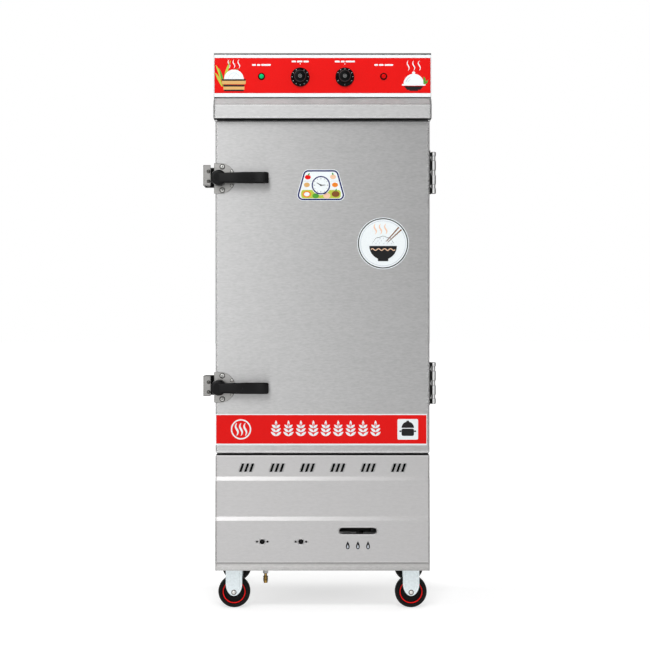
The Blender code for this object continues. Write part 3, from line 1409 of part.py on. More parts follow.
def build_flue_cowl():
    """A cowl over the burner room's flue hole, open at its bottom and to the casing."""
    outline = [
        (0, 0),
        (0, FLUE_HEIGHT),
        (FLUE_DEPTH / 2, FLUE_HEIGHT),
        (FLUE_DEPTH, FLUE_HEIGHT / 2),
        (FLUE_DEPTH, 0),
    ]
    mesh = folded_mesh("flue_cowl", outline, FLUE_WIDTH, (0, 4))
    at = (0, BACK_Y + SEAT_GAP, FLUE_Z)
    cowl = node("flue_cowl", mesh, at, "brushed_steel")
    solidify(cowl, SHEET)


# Casters

def fork_outline(trail):
    """One face of a fork in (x, z) from the axle: wide at the top, round under the axle."""
    top = CASTER_HEIGHT - AXLE_Z
    taper = FORK_TAPER_Z - AXLE_Z
    half = FORK_HALF_WIDTH
    round_end = arc((0, 0), FORK_END_RADIUS, -160, -20, 8)
    left = [(trail - half, top), (trail - half, taper)]
    right = [(trail + half, taper), (trail + half, top)]
    return left + round_end + right


def wheel_profile():
    """Half of the wheel's section, from the front face down its tread to the back."""
    half = WHEEL_WIDTH / 2
    edge = TREAD_EDGE
    bore = AXLE_RADIUS + RUN_GAP
    front = [
        (bore, half),
        (BOSS_RADIUS, half),
        (BOSS_RADIUS + WEB_SETBACK, half - WEB_SETBACK),
        (WEB_RADIUS, half - WEB_SETBACK),
        (WEB_RADIUS + WEB_SETBACK, half),
        (WHEEL_RADIUS - edge / 2, half),
        (WHEEL_RADIUS, half - edge),
    ]
    return front + [(radius, -height) for radius, height in reversed(front)]


def build_wheel(name, at, parent):
    """A wheel turned half a step, so that one of its flats meets the floor."""
    mesh = turned_mesh(name, wheel_profile(), closed=True)
    mesh.transform(Matrix.Rotation(math.pi / WHEEL_STEPS, 4, "Z"))
    wheel = node(name, mesh, at, "rubber", parent)
    wheel.rotation_euler = (math.radians(90), 0, 0)
    screw(wheel, WHEEL_STEPS)


def add_axle(fork, x, y):
    """The axle with a nut on each side, joined to the fork."""
    outer = WHEEL_WIDTH / 2 + FORK_SIDE_GAP + FORK_SHEET
    axle = rod_mesh("axle", AXLE_RADIUS, 2 * outer + OVERLAP, "Y")
    join(fork, tool("axle", axle, (x, y, AXLE_Z)))
    for side in (-1, 1):
        nut = rod_mesh("axle_nut", NUT_RADIUS, NUT_HEIGHT, "Y", 6)
        at = (x, y + side * (outer + NUT_HEIGHT / 2 - OVERLAP / 2), AXLE_Z)
        join(fork, tool("axle_nut", nut, at))


def fork_gap_cutter(x, y, top):
    inner = WHEEL_WIDTH / 2 + FORK_SIDE_GAP
    size = (4 * WHEEL_RADIUS, 2 * inner, top + OVERRUN)
    return tool("fork_gap", box_mesh("fork_gap", size), (x, y, (top - OVERRUN) / 2))


def fork_thickness():
    return 2 * (WHEEL_WIDTH / 2 + FORK_SIDE_GAP + FORK_SHEET)


def build_fixed_caster(name, side):
    x, y = side * FRONT_CASTER_X, -CASTER_Y
    mesh = outline_mesh(name, [fork_outline(0)], fork_thickness(), "Y")
    fork = node(f"{name}_fork", mesh, (x, y, AXLE_Z), "zinc")
    cut(fork, fork_gap_cutter(x, y, CASTER_HEIGHT - FORK_SHEET))
    plate = box_mesh("caster_plate", (CASTER_PLATE_WIDTH, CASTER_PLATE_DEPTH, FORK_SHEET))
    join(fork, tool("caster_plate", plate, (x, y, CASTER_HEIGHT - FORK_SHEET / 2)))
    add_axle(fork, x, y)
    build_wheel(f"{name}_wheel", (x, y, AXLE_Z), None)


def build_swivel_caster(name, side):
    """A swivel caster with its wheel trailing outward, and a brake pedal over the wheel."""
    x, y = side * REAR_SWIVEL_X, CASTER_Y
    wheel_x = x + side * SWIVEL_TRAIL
    plate = box_mesh("swivel_plate", (CASTER_PLATE_WIDTH, CASTER_PLATE_DEPTH, FORK_SHEET))
    plate_at = (x, y, CASTER_HEIGHT - FORK_SHEET / 2)
    swivel_plate = node(f"{name}_swivel_plate", plate, plate_at, "zinc")
    race = rod_mesh("swivel_race", RACE_RADIUS, RACE_HEIGHT + OVERLAP, "Z", ROUND_STEPS)
    race_low = CASTER_HEIGHT - FORK_SHEET - RACE_HEIGHT
    join(swivel_plate, tool("swivel_race", race, (x, y, race_low + (RACE_HEIGHT + OVERLAP) / 2)))

    swivel = new_empty(f"{name}_swivel_axis", (x, y, 0), ASSEMBLY)
    crown_top = race_low - SEAT_GAP
    outline = [
        (px, min(pz, crown_top - AXLE_Z)) for px, pz in fork_outline(-side * SWIVEL_TRAIL)
    ]
    mesh = outline_mesh(name, [outline], fork_thickness(), "Y")
    mesh.transform(Matrix.Translation((side * SWIVEL_TRAIL, 0, AXLE_Z)))
    fork = node(f"{name}_swivel_fork", mesh, (x, y, 0), "zinc", swivel)
    cut(fork, fork_gap_cutter(wheel_x, y, crown_top - FORK_SHEET))
    crown = rod_mesh("crown", CROWN_RADIUS, FORK_SHEET, "Z", ROUND_STEPS)
    join(fork, tool("crown", crown, (x, y, crown_top - FORK_SHEET / 2)))
    add_axle(fork, wheel_x, y)
    build_wheel(f"{name}_wheel", (wheel_x, y, AXLE_Z), swivel)
    build_brake_pedal(name, side, fork, swivel)


def build_brake_pedal(name, side, fork, swivel):
    """The pedal turns on a pin across the fork, with its pad over the wheel's tread."""
    pivot_x = side * (REAR_SWIVEL_X + PEDAL_PIVOT_X)
    pin_length = fork_thickness() - FORK_SHEET
    pin = rod_mesh("pedal_pin", PEDAL_PIN_RADIUS, pin_length, "Y", 8)
    join(fork, tool("pedal_pin", pin, (pivot_x, CASTER_Y, PEDAL_PIVOT_Z)))
    barrel = rod_mesh("barrel", PEDAL_BARREL_RADIUS, PEDAL_WIDTH, "Y")
    at = (pivot_x, CASTER_Y, PEDAL_PIVOT_Z)
    pedal = node(f"{name}_brake_pedal", barrel, at, "black_plastic", swivel)
    plan = [
        (0, -PEDAL_THICKNESS / 2),
        (PEDAL_PAD_START, -PEDAL_THICKNESS / 2),
        (PEDAL_PAD_START, -PEDAL_THICKNESS / 2 - PEDAL_PAD),
        (PEDAL_PAD_END, -PEDAL_THICKNESS / 2 - PEDAL_PAD),
        (PEDAL_PAD_END, -PEDAL_THICKNESS / 2 - PEDAL_DROP / 3),
        (PEDAL_LENGTH, -PEDAL_THICKNESS / 2 - PEDAL_DROP),
        (PEDAL_LENGTH, PEDAL_THICKNESS / 2 - PEDAL_DROP),
        (PEDAL_PAD_END, PEDAL_THICKNESS / 2),
        (0, PEDAL_THICKNESS / 2),
    ]
    plan = [(side * px, pz) for px, pz in plan]
    plate = outline_mesh("pedal_plate", [plan], PEDAL_WIDTH - PEDAL_PIN_RADIUS, "Y")
    join(pedal, tool("pedal_plate", plate, at))
    bore = rod_mesh("pedal_bore", PEDAL_PIN_RADIUS + RUN_GAP, PEDAL_WIDTH + 2 * OVERRUN, "Y")
    cut(pedal, tool("pedal_bore", bore, at))


def main():
    door_axis = new_empty("door_axis", (HINGE_X, HINGE_Y, 0), ASSEMBLY)
    build_chassis()
    build_base_panel()
    build_casing()
    build_front_frame()
    build_liner()
    build_insulation()
    build_baffle()
    build_rack()
    build_trays()
    build_hood()
    build_control_cover()
    build_control_panel()
    for name, side in (("thermostat", -1), ("timer", 1)):
        build_switch(name, side * KNOB_X)
        build_knob(f"{name}_knob", side * KNOB_X)
    build_lamp("heating_lamp", LAMP_X[0], "green_lens")
    build_lamp("power_lamp", LAMP_X[1], "red_lens")
    build_gland()
    build_door(door_axis)
    for index, name in enumerate(("lower", "upper")):
        build_hinge(name, HINGE_Z[index], door_axis)
        build_latch_plate(f"{name}_latch_plate", LATCH_Z[index], door_axis)
        build_latch_lever(f"{name}_latch_lever", LATCH_Z[index], door_axis)
        build_keeper(f"{name}_keeper", KEEPER_Z[index])
    build_burner()
    build_manifold()
    build_barb()
    build_element()
    build_drain()
    build_steam_outlet()
    build_flue_cowl()
    for name, side in (("left", -1), ("right", 1)):
        build_fixed_caster(f"{name}_front", side)
        build_swivel_caster(f"{name}_rear", side)


clear_scene()
PARTS = new_collection("rice_steamer_cabinet")
CUTTERS = new_collection("cutters")
MATERIALS = {name: new_material(name) for name in FINISHES}
ASSEMBLY = new_empty("cabinet", (0, 0, 0))
main()
ASSEMBLY.location = (-ORIGIN_X, -ORIGIN_Y, 0)
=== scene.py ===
"""The looks of a rice steamer cabinet on casters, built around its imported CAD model."""

import math

import bmesh
import bpy
from mathutils import Matrix, Vector


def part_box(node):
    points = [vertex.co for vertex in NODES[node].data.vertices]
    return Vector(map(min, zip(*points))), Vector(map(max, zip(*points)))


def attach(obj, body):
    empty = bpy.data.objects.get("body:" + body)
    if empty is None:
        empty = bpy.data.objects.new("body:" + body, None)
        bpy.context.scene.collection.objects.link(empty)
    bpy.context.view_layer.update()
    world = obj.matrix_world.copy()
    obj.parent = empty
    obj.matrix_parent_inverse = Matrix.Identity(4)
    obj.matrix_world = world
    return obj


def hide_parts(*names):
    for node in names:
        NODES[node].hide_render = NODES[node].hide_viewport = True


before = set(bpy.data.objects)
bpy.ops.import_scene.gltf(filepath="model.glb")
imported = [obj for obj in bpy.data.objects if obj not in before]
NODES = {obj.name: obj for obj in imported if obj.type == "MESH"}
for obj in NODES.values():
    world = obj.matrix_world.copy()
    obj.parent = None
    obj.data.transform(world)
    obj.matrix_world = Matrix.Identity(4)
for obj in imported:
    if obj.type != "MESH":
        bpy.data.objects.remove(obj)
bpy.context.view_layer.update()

# Shapes and places are in millimetres, up to where an object is made. Materials are in metres
MM = 0.001


def box(node):
    """The low and the high corner of a CAD node."""
    return [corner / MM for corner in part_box(node)]


def centre_of(node):
    """The centre of a CAD node's box."""
    low, high = box(node)
    return (low + high) / 2


DOOR_LOW, DOOR_HIGH = box("door_skin")
CENTRE_X = centre_of("door_skin").x
DOOR_Y = DOOR_LOW.y
PANEL_Y = box("control_panel")[0].y

# Camera, read from the scales of the wheels, the door and the hood
CAMERA_SIDE = 7.6
CAMERA_HEIGHT = 877.5
CAMERA_DISTANCE = 4150
FIELD_WIDTH = 1986
SENSOR_WIDTH = 36


# Node trees

WHITE = (1, 1, 1, 1)


def srgb(*channels):
    """A colour as the screen shows it, from 0 to 255, in Blender's linear values."""
    shares = [channel / 255 for channel in channels]
    return tuple(s / 12.92 if s <= 0.04045 else ((s + 0.055) / 1.055) ** 2.4 for s in shares)


def new_node(tree, kind, inputs=None, **settings):
    """A shader node with its settings, whose inputs are values or other nodes' outputs."""
    node = tree.nodes.new(f"ShaderNode{kind}")
    for name, value in settings.items():
        setattr(node, name, value)
    for socket, value in (inputs or {}).items():
        if isinstance(value, bpy.types.NodeSocket):
            tree.links.new(value, node.inputs[socket])
        else:
            node.inputs[socket].default_value = value
    return node


def add_node(tree, kind, inputs=None, **settings):
    """The first output of a new shader node."""
    return new_node(tree, kind, inputs, **settings).outputs[0]


def calculate(tree, operation, first, second=0):
    return add_node(tree, "Math", {0: first, 1: second}, operation=operation)


def multiply(tree, level, *factors):
    for factor in factors:
        level = calculate(tree, "MULTIPLY", level, factor)
    return level


def map_range(tree, value, low, high, to_low, to_high):
    return add_node(tree, "MapRange", {0: value, 1: low, 2: high, 3: to_low, 4: to_high})


def vary(tree, value, low, high):
    """A noise, most of which lies near its middle, spread over the range from low to high."""
    return map_range(tree, value, 0.3, 0.7, low, high)


def shade(tree, colour, level):
    """A colour made lighter or darker by a level near 1."""
    return add_node(tree, "VectorMath", {0: colour, "Scale": level}, operation="SCALE")


def noise(tree, detail, *scales):
    """Noise with its number of cells for each metre: one for all ways, or one each for X, Y, Z."""
    place = new_node(tree, "TexCoord").outputs["Object"]
    scale = scales if len(scales) == 3 else scales * 3
    mapped = add_node(tree, "Mapping", {"Vector": place, "Scale": scale})
    inputs = {"Vector": mapped, "Scale": 1, "Detail": detail}
    return new_node(tree, "TexNoise", inputs).outputs["Fac"]


def part(tree, vector, axis):
    return new_node(tree, "SeparateXYZ", {0: vector}).outputs[axis]


def geometry(tree, output):
    return new_node(tree, "NewGeometry").outputs[output]


def grain(tree, along, across, detail):
    """Brushing lines: level on upright faces, and from side to side on level ones."""
    upness = calculate(tree, "ABSOLUTE", part(tree, geometry(tree, "Normal"), "Z"))
    inputs = {
        0: calculate(tree, "GREATER_THAN", upness, 0.7),
        2: noise(tree, detail, along, along, across),
        3: noise(tree, detail, along, across, along),
    }
    return add_node(tree, "Mix", inputs, data_type="FLOAT")


# Materials


def new_material(name, roughness, metallic=0, **sockets):
    material = bpy.data.materials.new(name)
    material.use_nodes = True
    shader = material.node_tree.nodes["Principled BSDF"]
    for socket, value in {"Roughness": roughness, "Metallic": metallic, **sockets}.items():
        shader.inputs[socket.replace("_", " ")].default_value = value
    return material, material.node_tree


def finish(material, colour, level, rough=None, relief=None, **sources):
    """Link a material's colour at its level, its roughness, its relief and its other inputs.

    The relief is a height with a strength and a distance.
    """
    tree = material.node_tree
    sources["Base Color"] = shade(tree, srgb(*colour), level)
    if rough:
        sources["Roughness"] = rough
    if relief:
        inputs = dict(zip(("Height", "Strength", "Distance"), relief))
        sources["Normal"] = add_node(tree, "Bump", inputs)
    for socket, source in sources.items():
        tree.links.new(source, tree.nodes["Principled BSDF"].inputs[socket.replace("_", " ")])
    return material


def painted_edge_light(tree, radius, side, painted_fold_light, painted_gleam=1.18):
    """A level of painted light and shade over folds and cut edges.

    Upright ones get side, a painted shade, beside a painted highlight. Level ones get painted
    light.
    """
    bevel = add_node(tree, "Bevel", {"Radius": radius}, samples=6)
    turned = []
    for axis in "XZ":
        share = part(tree, bevel, axis)
        square = multiply(tree, share, share)
        turned.append(multiply(tree, square, calculate(tree, "SUBTRACT", 1, square)))
    # Painted shade on upright folds, a painted highlight beside it, and painted light on level
    # folds
    return multiply(
        tree,
        map_range(tree, turned[0], 0.08, 0.15, 1, side),
        map_range(tree, turned[0], 0.003, 0.012, 1, painted_gleam),
        map_range(tree, turned[1], 0.06, 0.2, 1, painted_fold_light),
    )


def brushed_metal(
    name, colour, roughness, fine=300, contrast=0.1, metallic=0.88, spread=0.85,
    edge=0.009, side=0.02, painted_fold_light=1.7, painted_gleam=1.18, painted_slope_light=1, painted_top_light=1,
):
    """Sheet steel with fine lines, faint bands, patches that hands have dulled and painted fold
    light.

    The lines spread its reflections upwards and downwards more than sideways. Faces that slope
    upwards get painted light at one level, and flat tops painted light at another.
    """
    material, tree = new_material(name, roughness, metallic, Anisotropic=spread)
    lines = grain(tree, 80, fine, 4)
    levels = [
        map_range(tree, lines, 0.25, 0.75, 1 - contrast, 1 + contrast),
        vary(tree, grain(tree, 3, 90, 2), 1 - contrast / 8, 1 + contrast / 8),
        # Painted shade and highlights on folds and edges
        painted_edge_light(tree, edge, side, painted_fold_light, painted_gleam),
    ]
    # Painted light on upward slopes and flat tops, for how the light falls on them
    if painted_slope_light != 1 or painted_top_light != 1:
        up = part(tree, geometry(tree, "True Normal"), "Z")
        levels.append(map_range(tree, up, 0.15, 0.35, 1, painted_slope_light))
        levels.append(map_range(tree, up, 0.9, 0.99, 1, painted_top_light))
    worn = multiply(
        tree,
        map_range(tree, lines, 0.25, 0.75, roughness - 0.05, roughness + 0.05),
        vary(tree, noise(tree, 3, 3.5, 3.5, 2.5), 0.93, 1.07),
    )
    across = add_node(tree, "CombineXYZ", {"X": 0, "Y": 0.05, "Z": 1})
    relief = (lines, 0.1, 0.00004)
    return finish(material, colour, multiply(tree, *levels), worn, relief, Tangent=across)


def plated_metal(name, colour, roughness, metallic=1, contrast=0.06, edge=0):
    """Zinc or nickel: a faint crystal mottle, fine scuffs, and painted fold shade if edge is given.
    """
    material, tree = new_material(name, roughness, metallic)
    mottle = noise(tree, 2, 160)
    scuffs = noise(tree, 3, 900, 900, 90)
    level = vary(tree, mottle, 1 - contrast, 1 + contrast)
    if edge:
        # Painted shade on the folds
        level = multiply(tree, level, painted_edge_light(tree, edge, 0.68, 0.8))
    rough = vary(tree, scuffs, roughness - 0.05, roughness + 0.07)
    return finish(material, colour, level, rough, (mottle, 0.06, 0.0001))


def bar_metal(name, colour, left, painted_side_shade=0.08):
    """Bright round bar, with painted shade where its sides turn away and a painted level on its
    left.
    """
    material, tree = new_material(name, 0.3, 0.2)
    facing = new_node(tree, "LayerWeight", {"Blend": 0.5}).outputs["Facing"]
    spots = noise(tree, 3, 300, 300, 900)
    # Painted shade: darker towards the outline, and at its own level on the left-facing side
    level = multiply(
        tree,
        map_range(tree, facing, 0.04, 0.22, 1, painted_side_shade),
        vary(tree, spots, 0.94, 1.06),
        map_range(tree, part(tree, geometry(tree, "Normal"), "X"), -0.6, -0.3, left, 1),
    )
    return finish(material, colour, level, vary(tree, spots, 0.24, 0.38))


def cast_metal(name, colour, roughness):
    """Cast iron: pits and a dusty, uneven skin."""
    material, tree = new_material(name, roughness, 0.6)
    dust = noise(tree, 3, 25)
    rough = vary(tree, dust, roughness - 0.08, roughness + 0.1)
    relief = (noise(tree, 4, 700), 0.5, 0.0004)
    return finish(material, colour, vary(tree, dust, 0.7, 1.35), rough, relief)


def moulded(
    name, colour, roughness, pebble=1400, strength=0.25, contrast=0.1, specular=0.5, edge=0
):
    """Moulded plastic or rubber: a fine spark-eroded grain with handled, glossier patches.

    Where edge is given, the level folds get painted shade and duller shine.
    """
    material, tree = new_material(name, roughness, Specular_IOR_Level=specular)
    patches = noise(tree, 3, 30)
    level = vary(tree, patches, 1 - contrast, 1 + contrast)
    shine = {}
    if edge:
        # Painted shade and duller shine on the level folds
        turned = painted_edge_light(tree, edge, 0.6, 0.08)
        level = multiply(tree, level, turned)
        shine["Specular_IOR_Level"] = map_range(tree, turned, 0, 1, 0, specular)
    rough = vary(tree, patches, roughness - 0.06, roughness + 0.08)
    relief = (noise(tree, 2, pebble), strength, 0.00008)
    return finish(material, colour, level, rough, relief, **shine)


def printed(name, colour):
    """Printed vinyl: an even ink with a faint mottle and the film's slight waviness."""
    material, tree = new_material(name, 0.35, Specular_IOR_Level=0.2)
    waves = noise(tree, 2, 45)
    level = vary(tree, noise(tree, 3, 260), 0.97, 1.03)
    return finish(material, colour, level, vary(tree, waves, 0.3, 0.43), (waves, 0.05, 0.0002))


def lens(name, colour):
    """A lamp's coloured lens, with the cloudiness of old acrylic."""
    material, tree = new_material(name, 0.22, Specular_IOR_Level=0.1, Emission_Strength=0.35)
    cloud = noise(tree, 2, 220)
    level = vary(tree, cloud, 0.9, 1.12)
    glow = shade(tree, srgb(*colour), level)
    return finish(material, colour, level, vary(tree, cloud, 0.14, 0.24), Emission_Color=glow)


def foam_wool(name, colour):
    """Mineral wool: loose matted fibres."""
    material, tree = new_material(name, 0.95)
    fibres = noise(tree, 5, 300, 90, 500)
    return finish(material, colour, vary(tree, fibres, 0.75, 1.15), relief=(fibres, 0.8, 0.002))


# Painted light and shade on folds, for the inside, the fittings and the base
INSIDE = {"metallic": 0.95, "spread": 0.4, "side": 0.6}
FITTING = {"fine": 700, "spread": 0.3, "side": 0.3, "painted_fold_light": 0.5}
BASE = {"contrast": 0.05, "spread": 0.4, "edge": 0.007, "painted_fold_light": 1.3}

# Copies of one sheet steel, at levels that paint the light each part gets. The door's steel has
# painted highlights beside upright folds and painted shade on flat tops.
STEEL = brushed_metal("sheet_steel", (183, 183, 183), 0.36, painted_gleam=1.7, painted_top_light=0.66)
# The panel's steel: a darker copy with painted shade on its level folds, for the dark line at its
# edge
PANEL_STEEL = brushed_metal("panel_steel", (142, 142, 142), 0.36, edge=0.008, painted_fold_light=0.2)
# The hood's steel: painted shade on its upward sloping strip and painted highlights on its level
# folds
HOOD_STEEL = brushed_metal("hood_steel", (192, 192, 192), 0.48, spread=0.4, painted_fold_light=1.5, painted_slope_light=0.81)
# The base's steel: painted highlights on its level creases
BASE_STEEL = brushed_metal("base_steel", (187, 186, 186), 0.33, **BASE)
# The skirt's steel: painted shade on its folds
SKIRT_STEEL = brushed_metal("skirt_steel", (196, 195, 194), 0.36, edge=0.007, side=0.2, painted_fold_light=0.55)
# A darker copy of the steel for the seam strip over the skirt, as painted shade
SEAM_SHADE_STEEL = brushed_metal("seam_shade_steel", (156, 155, 154), 0.42, spread=0.4, edge=0.0008, painted_fold_light=0.8)
LINER_STEEL = brushed_metal("liner_steel", (198, 200, 202), 0.26, 400, **INSIDE)
PLATE_STEEL = brushed_metal("fitting_steel", (158, 157, 155), 0.36, edge=0.005, **FITTING)
# The keepers' steel is a darker copy of the fitting steel, as painted shade
KEEPER_STEEL = brushed_metal("keeper_steel", (147, 146, 144), 0.36, edge=0.006, **FITTING)
TRAY_METAL = brushed_metal("tray_metal", (204, 206, 208), 0.3, 260, **INSIDE)
# Painted shade on the bars' sides; the hinge bar's left side goes almost black
HINGE_BAR = bar_metal("hinge_bar", (252, 252, 252), 0.04)
NUT_BAR = bar_metal("nut_bar", (250, 250, 250), 1, 0.25)
BRASS = bar_metal("turned_brass", (222, 174, 74), 1)
# Painted shade on the folds of the forks
ZINC = plated_metal("zinc_plate", (226, 235, 238), 0.36, metallic=0.8, edge=0.005)
INSERT_METAL = plated_metal("knob_insert", (126, 126, 126), 0.42, metallic=0.6, contrast=0.05)
SCREW_METAL = plated_metal("screw_nickel", (238, 238, 234), 0.3, metallic=0.4, contrast=0.05)
DARK_SCREW = plated_metal("dark_screw", (112, 110, 106), 0.35, contrast=0.1)
# Near-black steel for the hinge leaves, as painted shade between the door's edge and the pins
LEAF_SHADE_STEEL = plated_metal("leaf_shade_steel", (34, 33, 33), 0.45, metallic=0.6, contrast=0.1)
IRON = cast_metal("cast_iron", (96, 94, 92), 0.62)
HEATER = cast_metal("heater_sheath", (88, 84, 80), 0.5)
BLACK_PLASTIC = moulded("black_plastic", (9, 9, 10), 0.32, specular=0.16)
# The lever's plastic, with painted shade on its level folds
GRIP_PLASTIC = moulded("grip_plastic", (9, 9, 10), 0.3, specular=0.16, edge=0.005)
KNOB_PLASTIC = moulded("knob_plastic", (6, 6, 7), 0.32, 2200, 0.12, specular=0.08)
# A lighter plastic for the knobs' rim rings, as painted highlight
RIM_HIGHLIGHT_PLASTIC = moulded("rim_highlight_plastic", (44, 44, 46), 0.4, 1800, 0.1, specular=0.3)
SWITCH_PLASTIC = moulded("switch_plastic", (52, 52, 54), 0.5)
BEZEL = moulded("bezel_plastic", (16, 8, 8), 0.42, specular=0.06)
TYRE = moulded("tyre_rubber", (14, 13, 13), 0.55, 900, 0.35, specular=0.14)
HUB_PLASTIC = moulded("hub_plastic", (9, 9, 9), 0.46, specular=0.12)
RING_RED = moulded("ring_red", (255, 22, 18), 0.38, 1800, 0.12, specular=0.25)
GASKET = moulded("gasket_rubber", (30, 30, 31), 0.62, 1100, 0.3, specular=0.2)
# Black for pieces that stand in gaps, hollows and recesses as painted shade
SHADE_BLACK = moulded("painted_shade_black", (9, 9, 9), 0.8, 900, 0.3, specular=0.1)
# Black for the gas manifold, as painted shade inside the valve holes
MANIFOLD_SHADE_BLACK = moulded("manifold_shade_black", (14, 14, 14), 0.45, 800, 0.3, specular=0.2)
WOOL = foam_wool("mineral_wool", (224, 206, 160))
GREEN_LENS = lens("green_lens", (2, 178, 104))
RED_LENS = lens("red_lens", (196, 3, 4))
INKS = {
    "white": (244, 250, 252),
    "red": (231, 13, 11),
    "red_rim": (205, 26, 28),
    "black": (24, 24, 26),
    "blue": (16, 18, 96),
    "green": (84, 160, 58),
    "lime": (190, 204, 74),
    "tan": (226, 178, 112),
    "brown": (132, 84, 44),
    "peach": (246, 204, 172),
    "orange": (240, 138, 44),
    "grey": (206, 212, 220),
}
VINYL = {ink: printed(f"vinyl_{ink}", colour) for ink, colour in INKS.items()}


def dress_nodes():
    """The CAD nodes that stay in view get the finished materials."""
    trays = [name for name in NODES if name.startswith("tray_") and name != "tray_rack"]
    finishes = {
        STEEL: "door_skin outer_casing control_box_cover front_frame",
        PANEL_STEEL: "control_panel",
        HOOD_STEEL: "drip_hood",
        BASE_STEEL: "base_front_panel",
        SKIRT_STEEL: "chassis",
        KEEPER_STEEL: "upper_keeper lower_keeper",
        LINER_STEEL: "inner_liner door_liner steam_baffle tray_rack",
        PLATE_STEEL: "upper_latch_plate lower_latch_plate steam_outlet drain_pipe flue_cowl",
        ZINC: "left_front_fork right_front_fork left_rear_swivel_fork right_rear_swivel_fork "
        "left_rear_swivel_plate right_rear_swivel_plate",
        IRON: "burner",
        HEATER: "heating_element",
        BLACK_PLASTIC: "left_rear_brake_pedal right_rear_brake_pedal cable_gland",
        SWITCH_PLASTIC: "thermostat timer",
        # The manifold in black, as painted shade inside the valve holes
        MANIFOLD_SHADE_BLACK: "gas_manifold",
        GASKET: "door_gasket",
        WOOL: "insulation",
        TRAY_METAL: " ".join(trays),
    }
    for material, names in finishes.items():
        for name in names.split():
            NODES[name].data.materials.clear()
            NODES[name].data.materials.append(material)


# Meshes

LAYER = 0.2
LIFT = 0.1


def rotation(degrees, axis):
    return Matrix.Rotation(math.radians(degrees), 4, axis)


FRONT = rotation(90, "X")


def mesh_of(name, bm):
    mesh = bpy.data.meshes.new(name)
    bmesh.ops.recalc_face_normals(bm, faces=bm.faces)
    bm.to_mesh(mesh)
    bm.free()
    return mesh


def add_object(name, data):
    obj = bpy.data.objects.new(name, data)
    bpy.context.scene.collection.objects.link(obj)
    return obj


def add_piece(name, mesh, at, body, material, slot=None, node=None):
    """A piece whose mesh is moved to its place, so that its object stays at the origin.

    It stands for the CAD node that is given, which it hides. The slot that is given is not used.
    """
    mesh.transform(Matrix.Scale(MM, 4) @ Matrix.Translation(at))
    mesh.materials.append(material)
    piece = add_object(name, mesh)
    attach(piece, body)
    if node:
        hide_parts(node)


def smooth(mesh, degrees=35):
    mesh.shade_smooth()
    mesh.set_sharp_from_angle(angle=math.radians(degrees))
    return mesh


def angles(steps):
    """Angles all the way round, in radians."""
    return [2 * math.pi * step / steps for step in range(steps)]


def loft_mesh(name, *lofts, closed=False):
    """Lofts in one mesh, each of them rings of points with faces between them.

    Closed lofts join their last ring to their first. The others are capped at both ends. Points
    in the same place are one corner.
    """
    bm = bmesh.new()
    for rings in lofts:
        points = dict.fromkeys(point for ring in rings for point in ring)
        corners = {point: bm.verts.new(point) for point in points}
        faces = []
        for first, second in zip(rings, rings[1:] + rings[:1] if closed else rings[1:]):
            for i in range(len(first)):
                j = (i + 1) % len(first)
                faces.append((first[i], first[j], second[j], second[i]))
        if not closed:
            faces += [rings[0], rings[-1]]
        for face in faces:
            outline = [corners[point] for point in dict.fromkeys(face)]
            if len(outline) > 2:
                bm.faces.new(outline)
    return mesh_of(name, bm)


def turned_mesh(name, profile, steps, wobble=None):
    """A (radius, height) profile turned about Z, closed unless it begins on the axis.

    wobble(index, angle) scales a ring's radius.
    """
    rings = []
    for index, (radius, height) in enumerate(profile):
        ring = []
        for angle in angles(steps):
            reach = radius * (wobble(index, angle) if wobble else 1)
            ring.append((reach * math.cos(angle), reach * math.sin(angle), height))
        rings.append(ring)
    return smooth(loft_mesh(name, rings, closed=profile[0][0] > 0))


def front_turned(name, profile, at, body, material, slot=None, node=None, facing=0, **options):
    """A turned piece whose heights run towards the front. facing turns it about Z, in degrees."""
    mesh = turned_mesh(name, profile, **options)
    mesh.transform(rotation(facing, "Z") @ FRONT)
    add_piece(name, mesh, at, body, material, slot, node)


def flat_mesh(name, outlines, thickness=LAYER):
    """Outlines of (x, z) points, filled, and made solid towards the front from y = 0."""
    curve = bpy.data.curves.new(name, "CURVE")
    curve.dimensions = "2D"
    curve.fill_mode = "BOTH"
    curve.extrude = thickness / 2
    for points in outlines:
        spline = curve.splines.new("POLY")
        spline.points.add(len(points) - 1)
        for target, (x, z) in zip(spline.points, points):
            target.co = (x, z, 0, 1)
        spline.use_cyclic_u = True
    obj = add_object(name, curve)
    graph = bpy.context.evaluated_depsgraph_get()
    mesh = bpy.data.meshes.new_from_object(obj.evaluated_get(graph))
    bpy.data.objects.remove(obj, do_unlink=True)
    bpy.data.curves.remove(curve)
    mesh.materials.clear()
    mesh.transform(Matrix.Translation((0, 0, thickness / 2)))
    mesh.transform(FRONT)
    return mesh


# Outlines of (x, z) points


def arc(centre, radius, start, end, steps):
    """Points round a centre, between two angles in degrees."""
    turns = [math.radians(start + (end - start) * i / steps) for i in range(steps + 1)]
    return [(centre[0] + radius * math.cos(t), centre[1] + radius * math.sin(t)) for t in turns]


def circle(radius, steps=48, centre=(0, 0)):
    return arc(centre, radius, 0, 360, steps)[:-1]


def ellipse(centre, half_width, half_height):
    x, z = centre
    return [(x + half_width * px, z + half_height * pz) for px, pz in circle(1, 40)]


def rounded(left, right, low, high, radius):
    """A rectangle with round corners."""
    near, far, under, over = left + radius, right - radius, low + radius, high - radius
    corners = ((far, under, -90), (far, over, 0), (near, over, 90), (near, under, 180))
    return [p for x, z, start in corners for p in arc((x, z), radius, start, start + 90, 5)]


def block(half, low, high, radius):
    """A rounded rectangle that reaches as far to the left as to the right."""
    return rounded(-half, half, low, high, radius)


def clock_point(reach, degrees):
    """A point round the origin, with its angle from the top."""
    turn = math.radians(degrees)
    return (reach * math.sin(turn), reach * math.cos(turn))


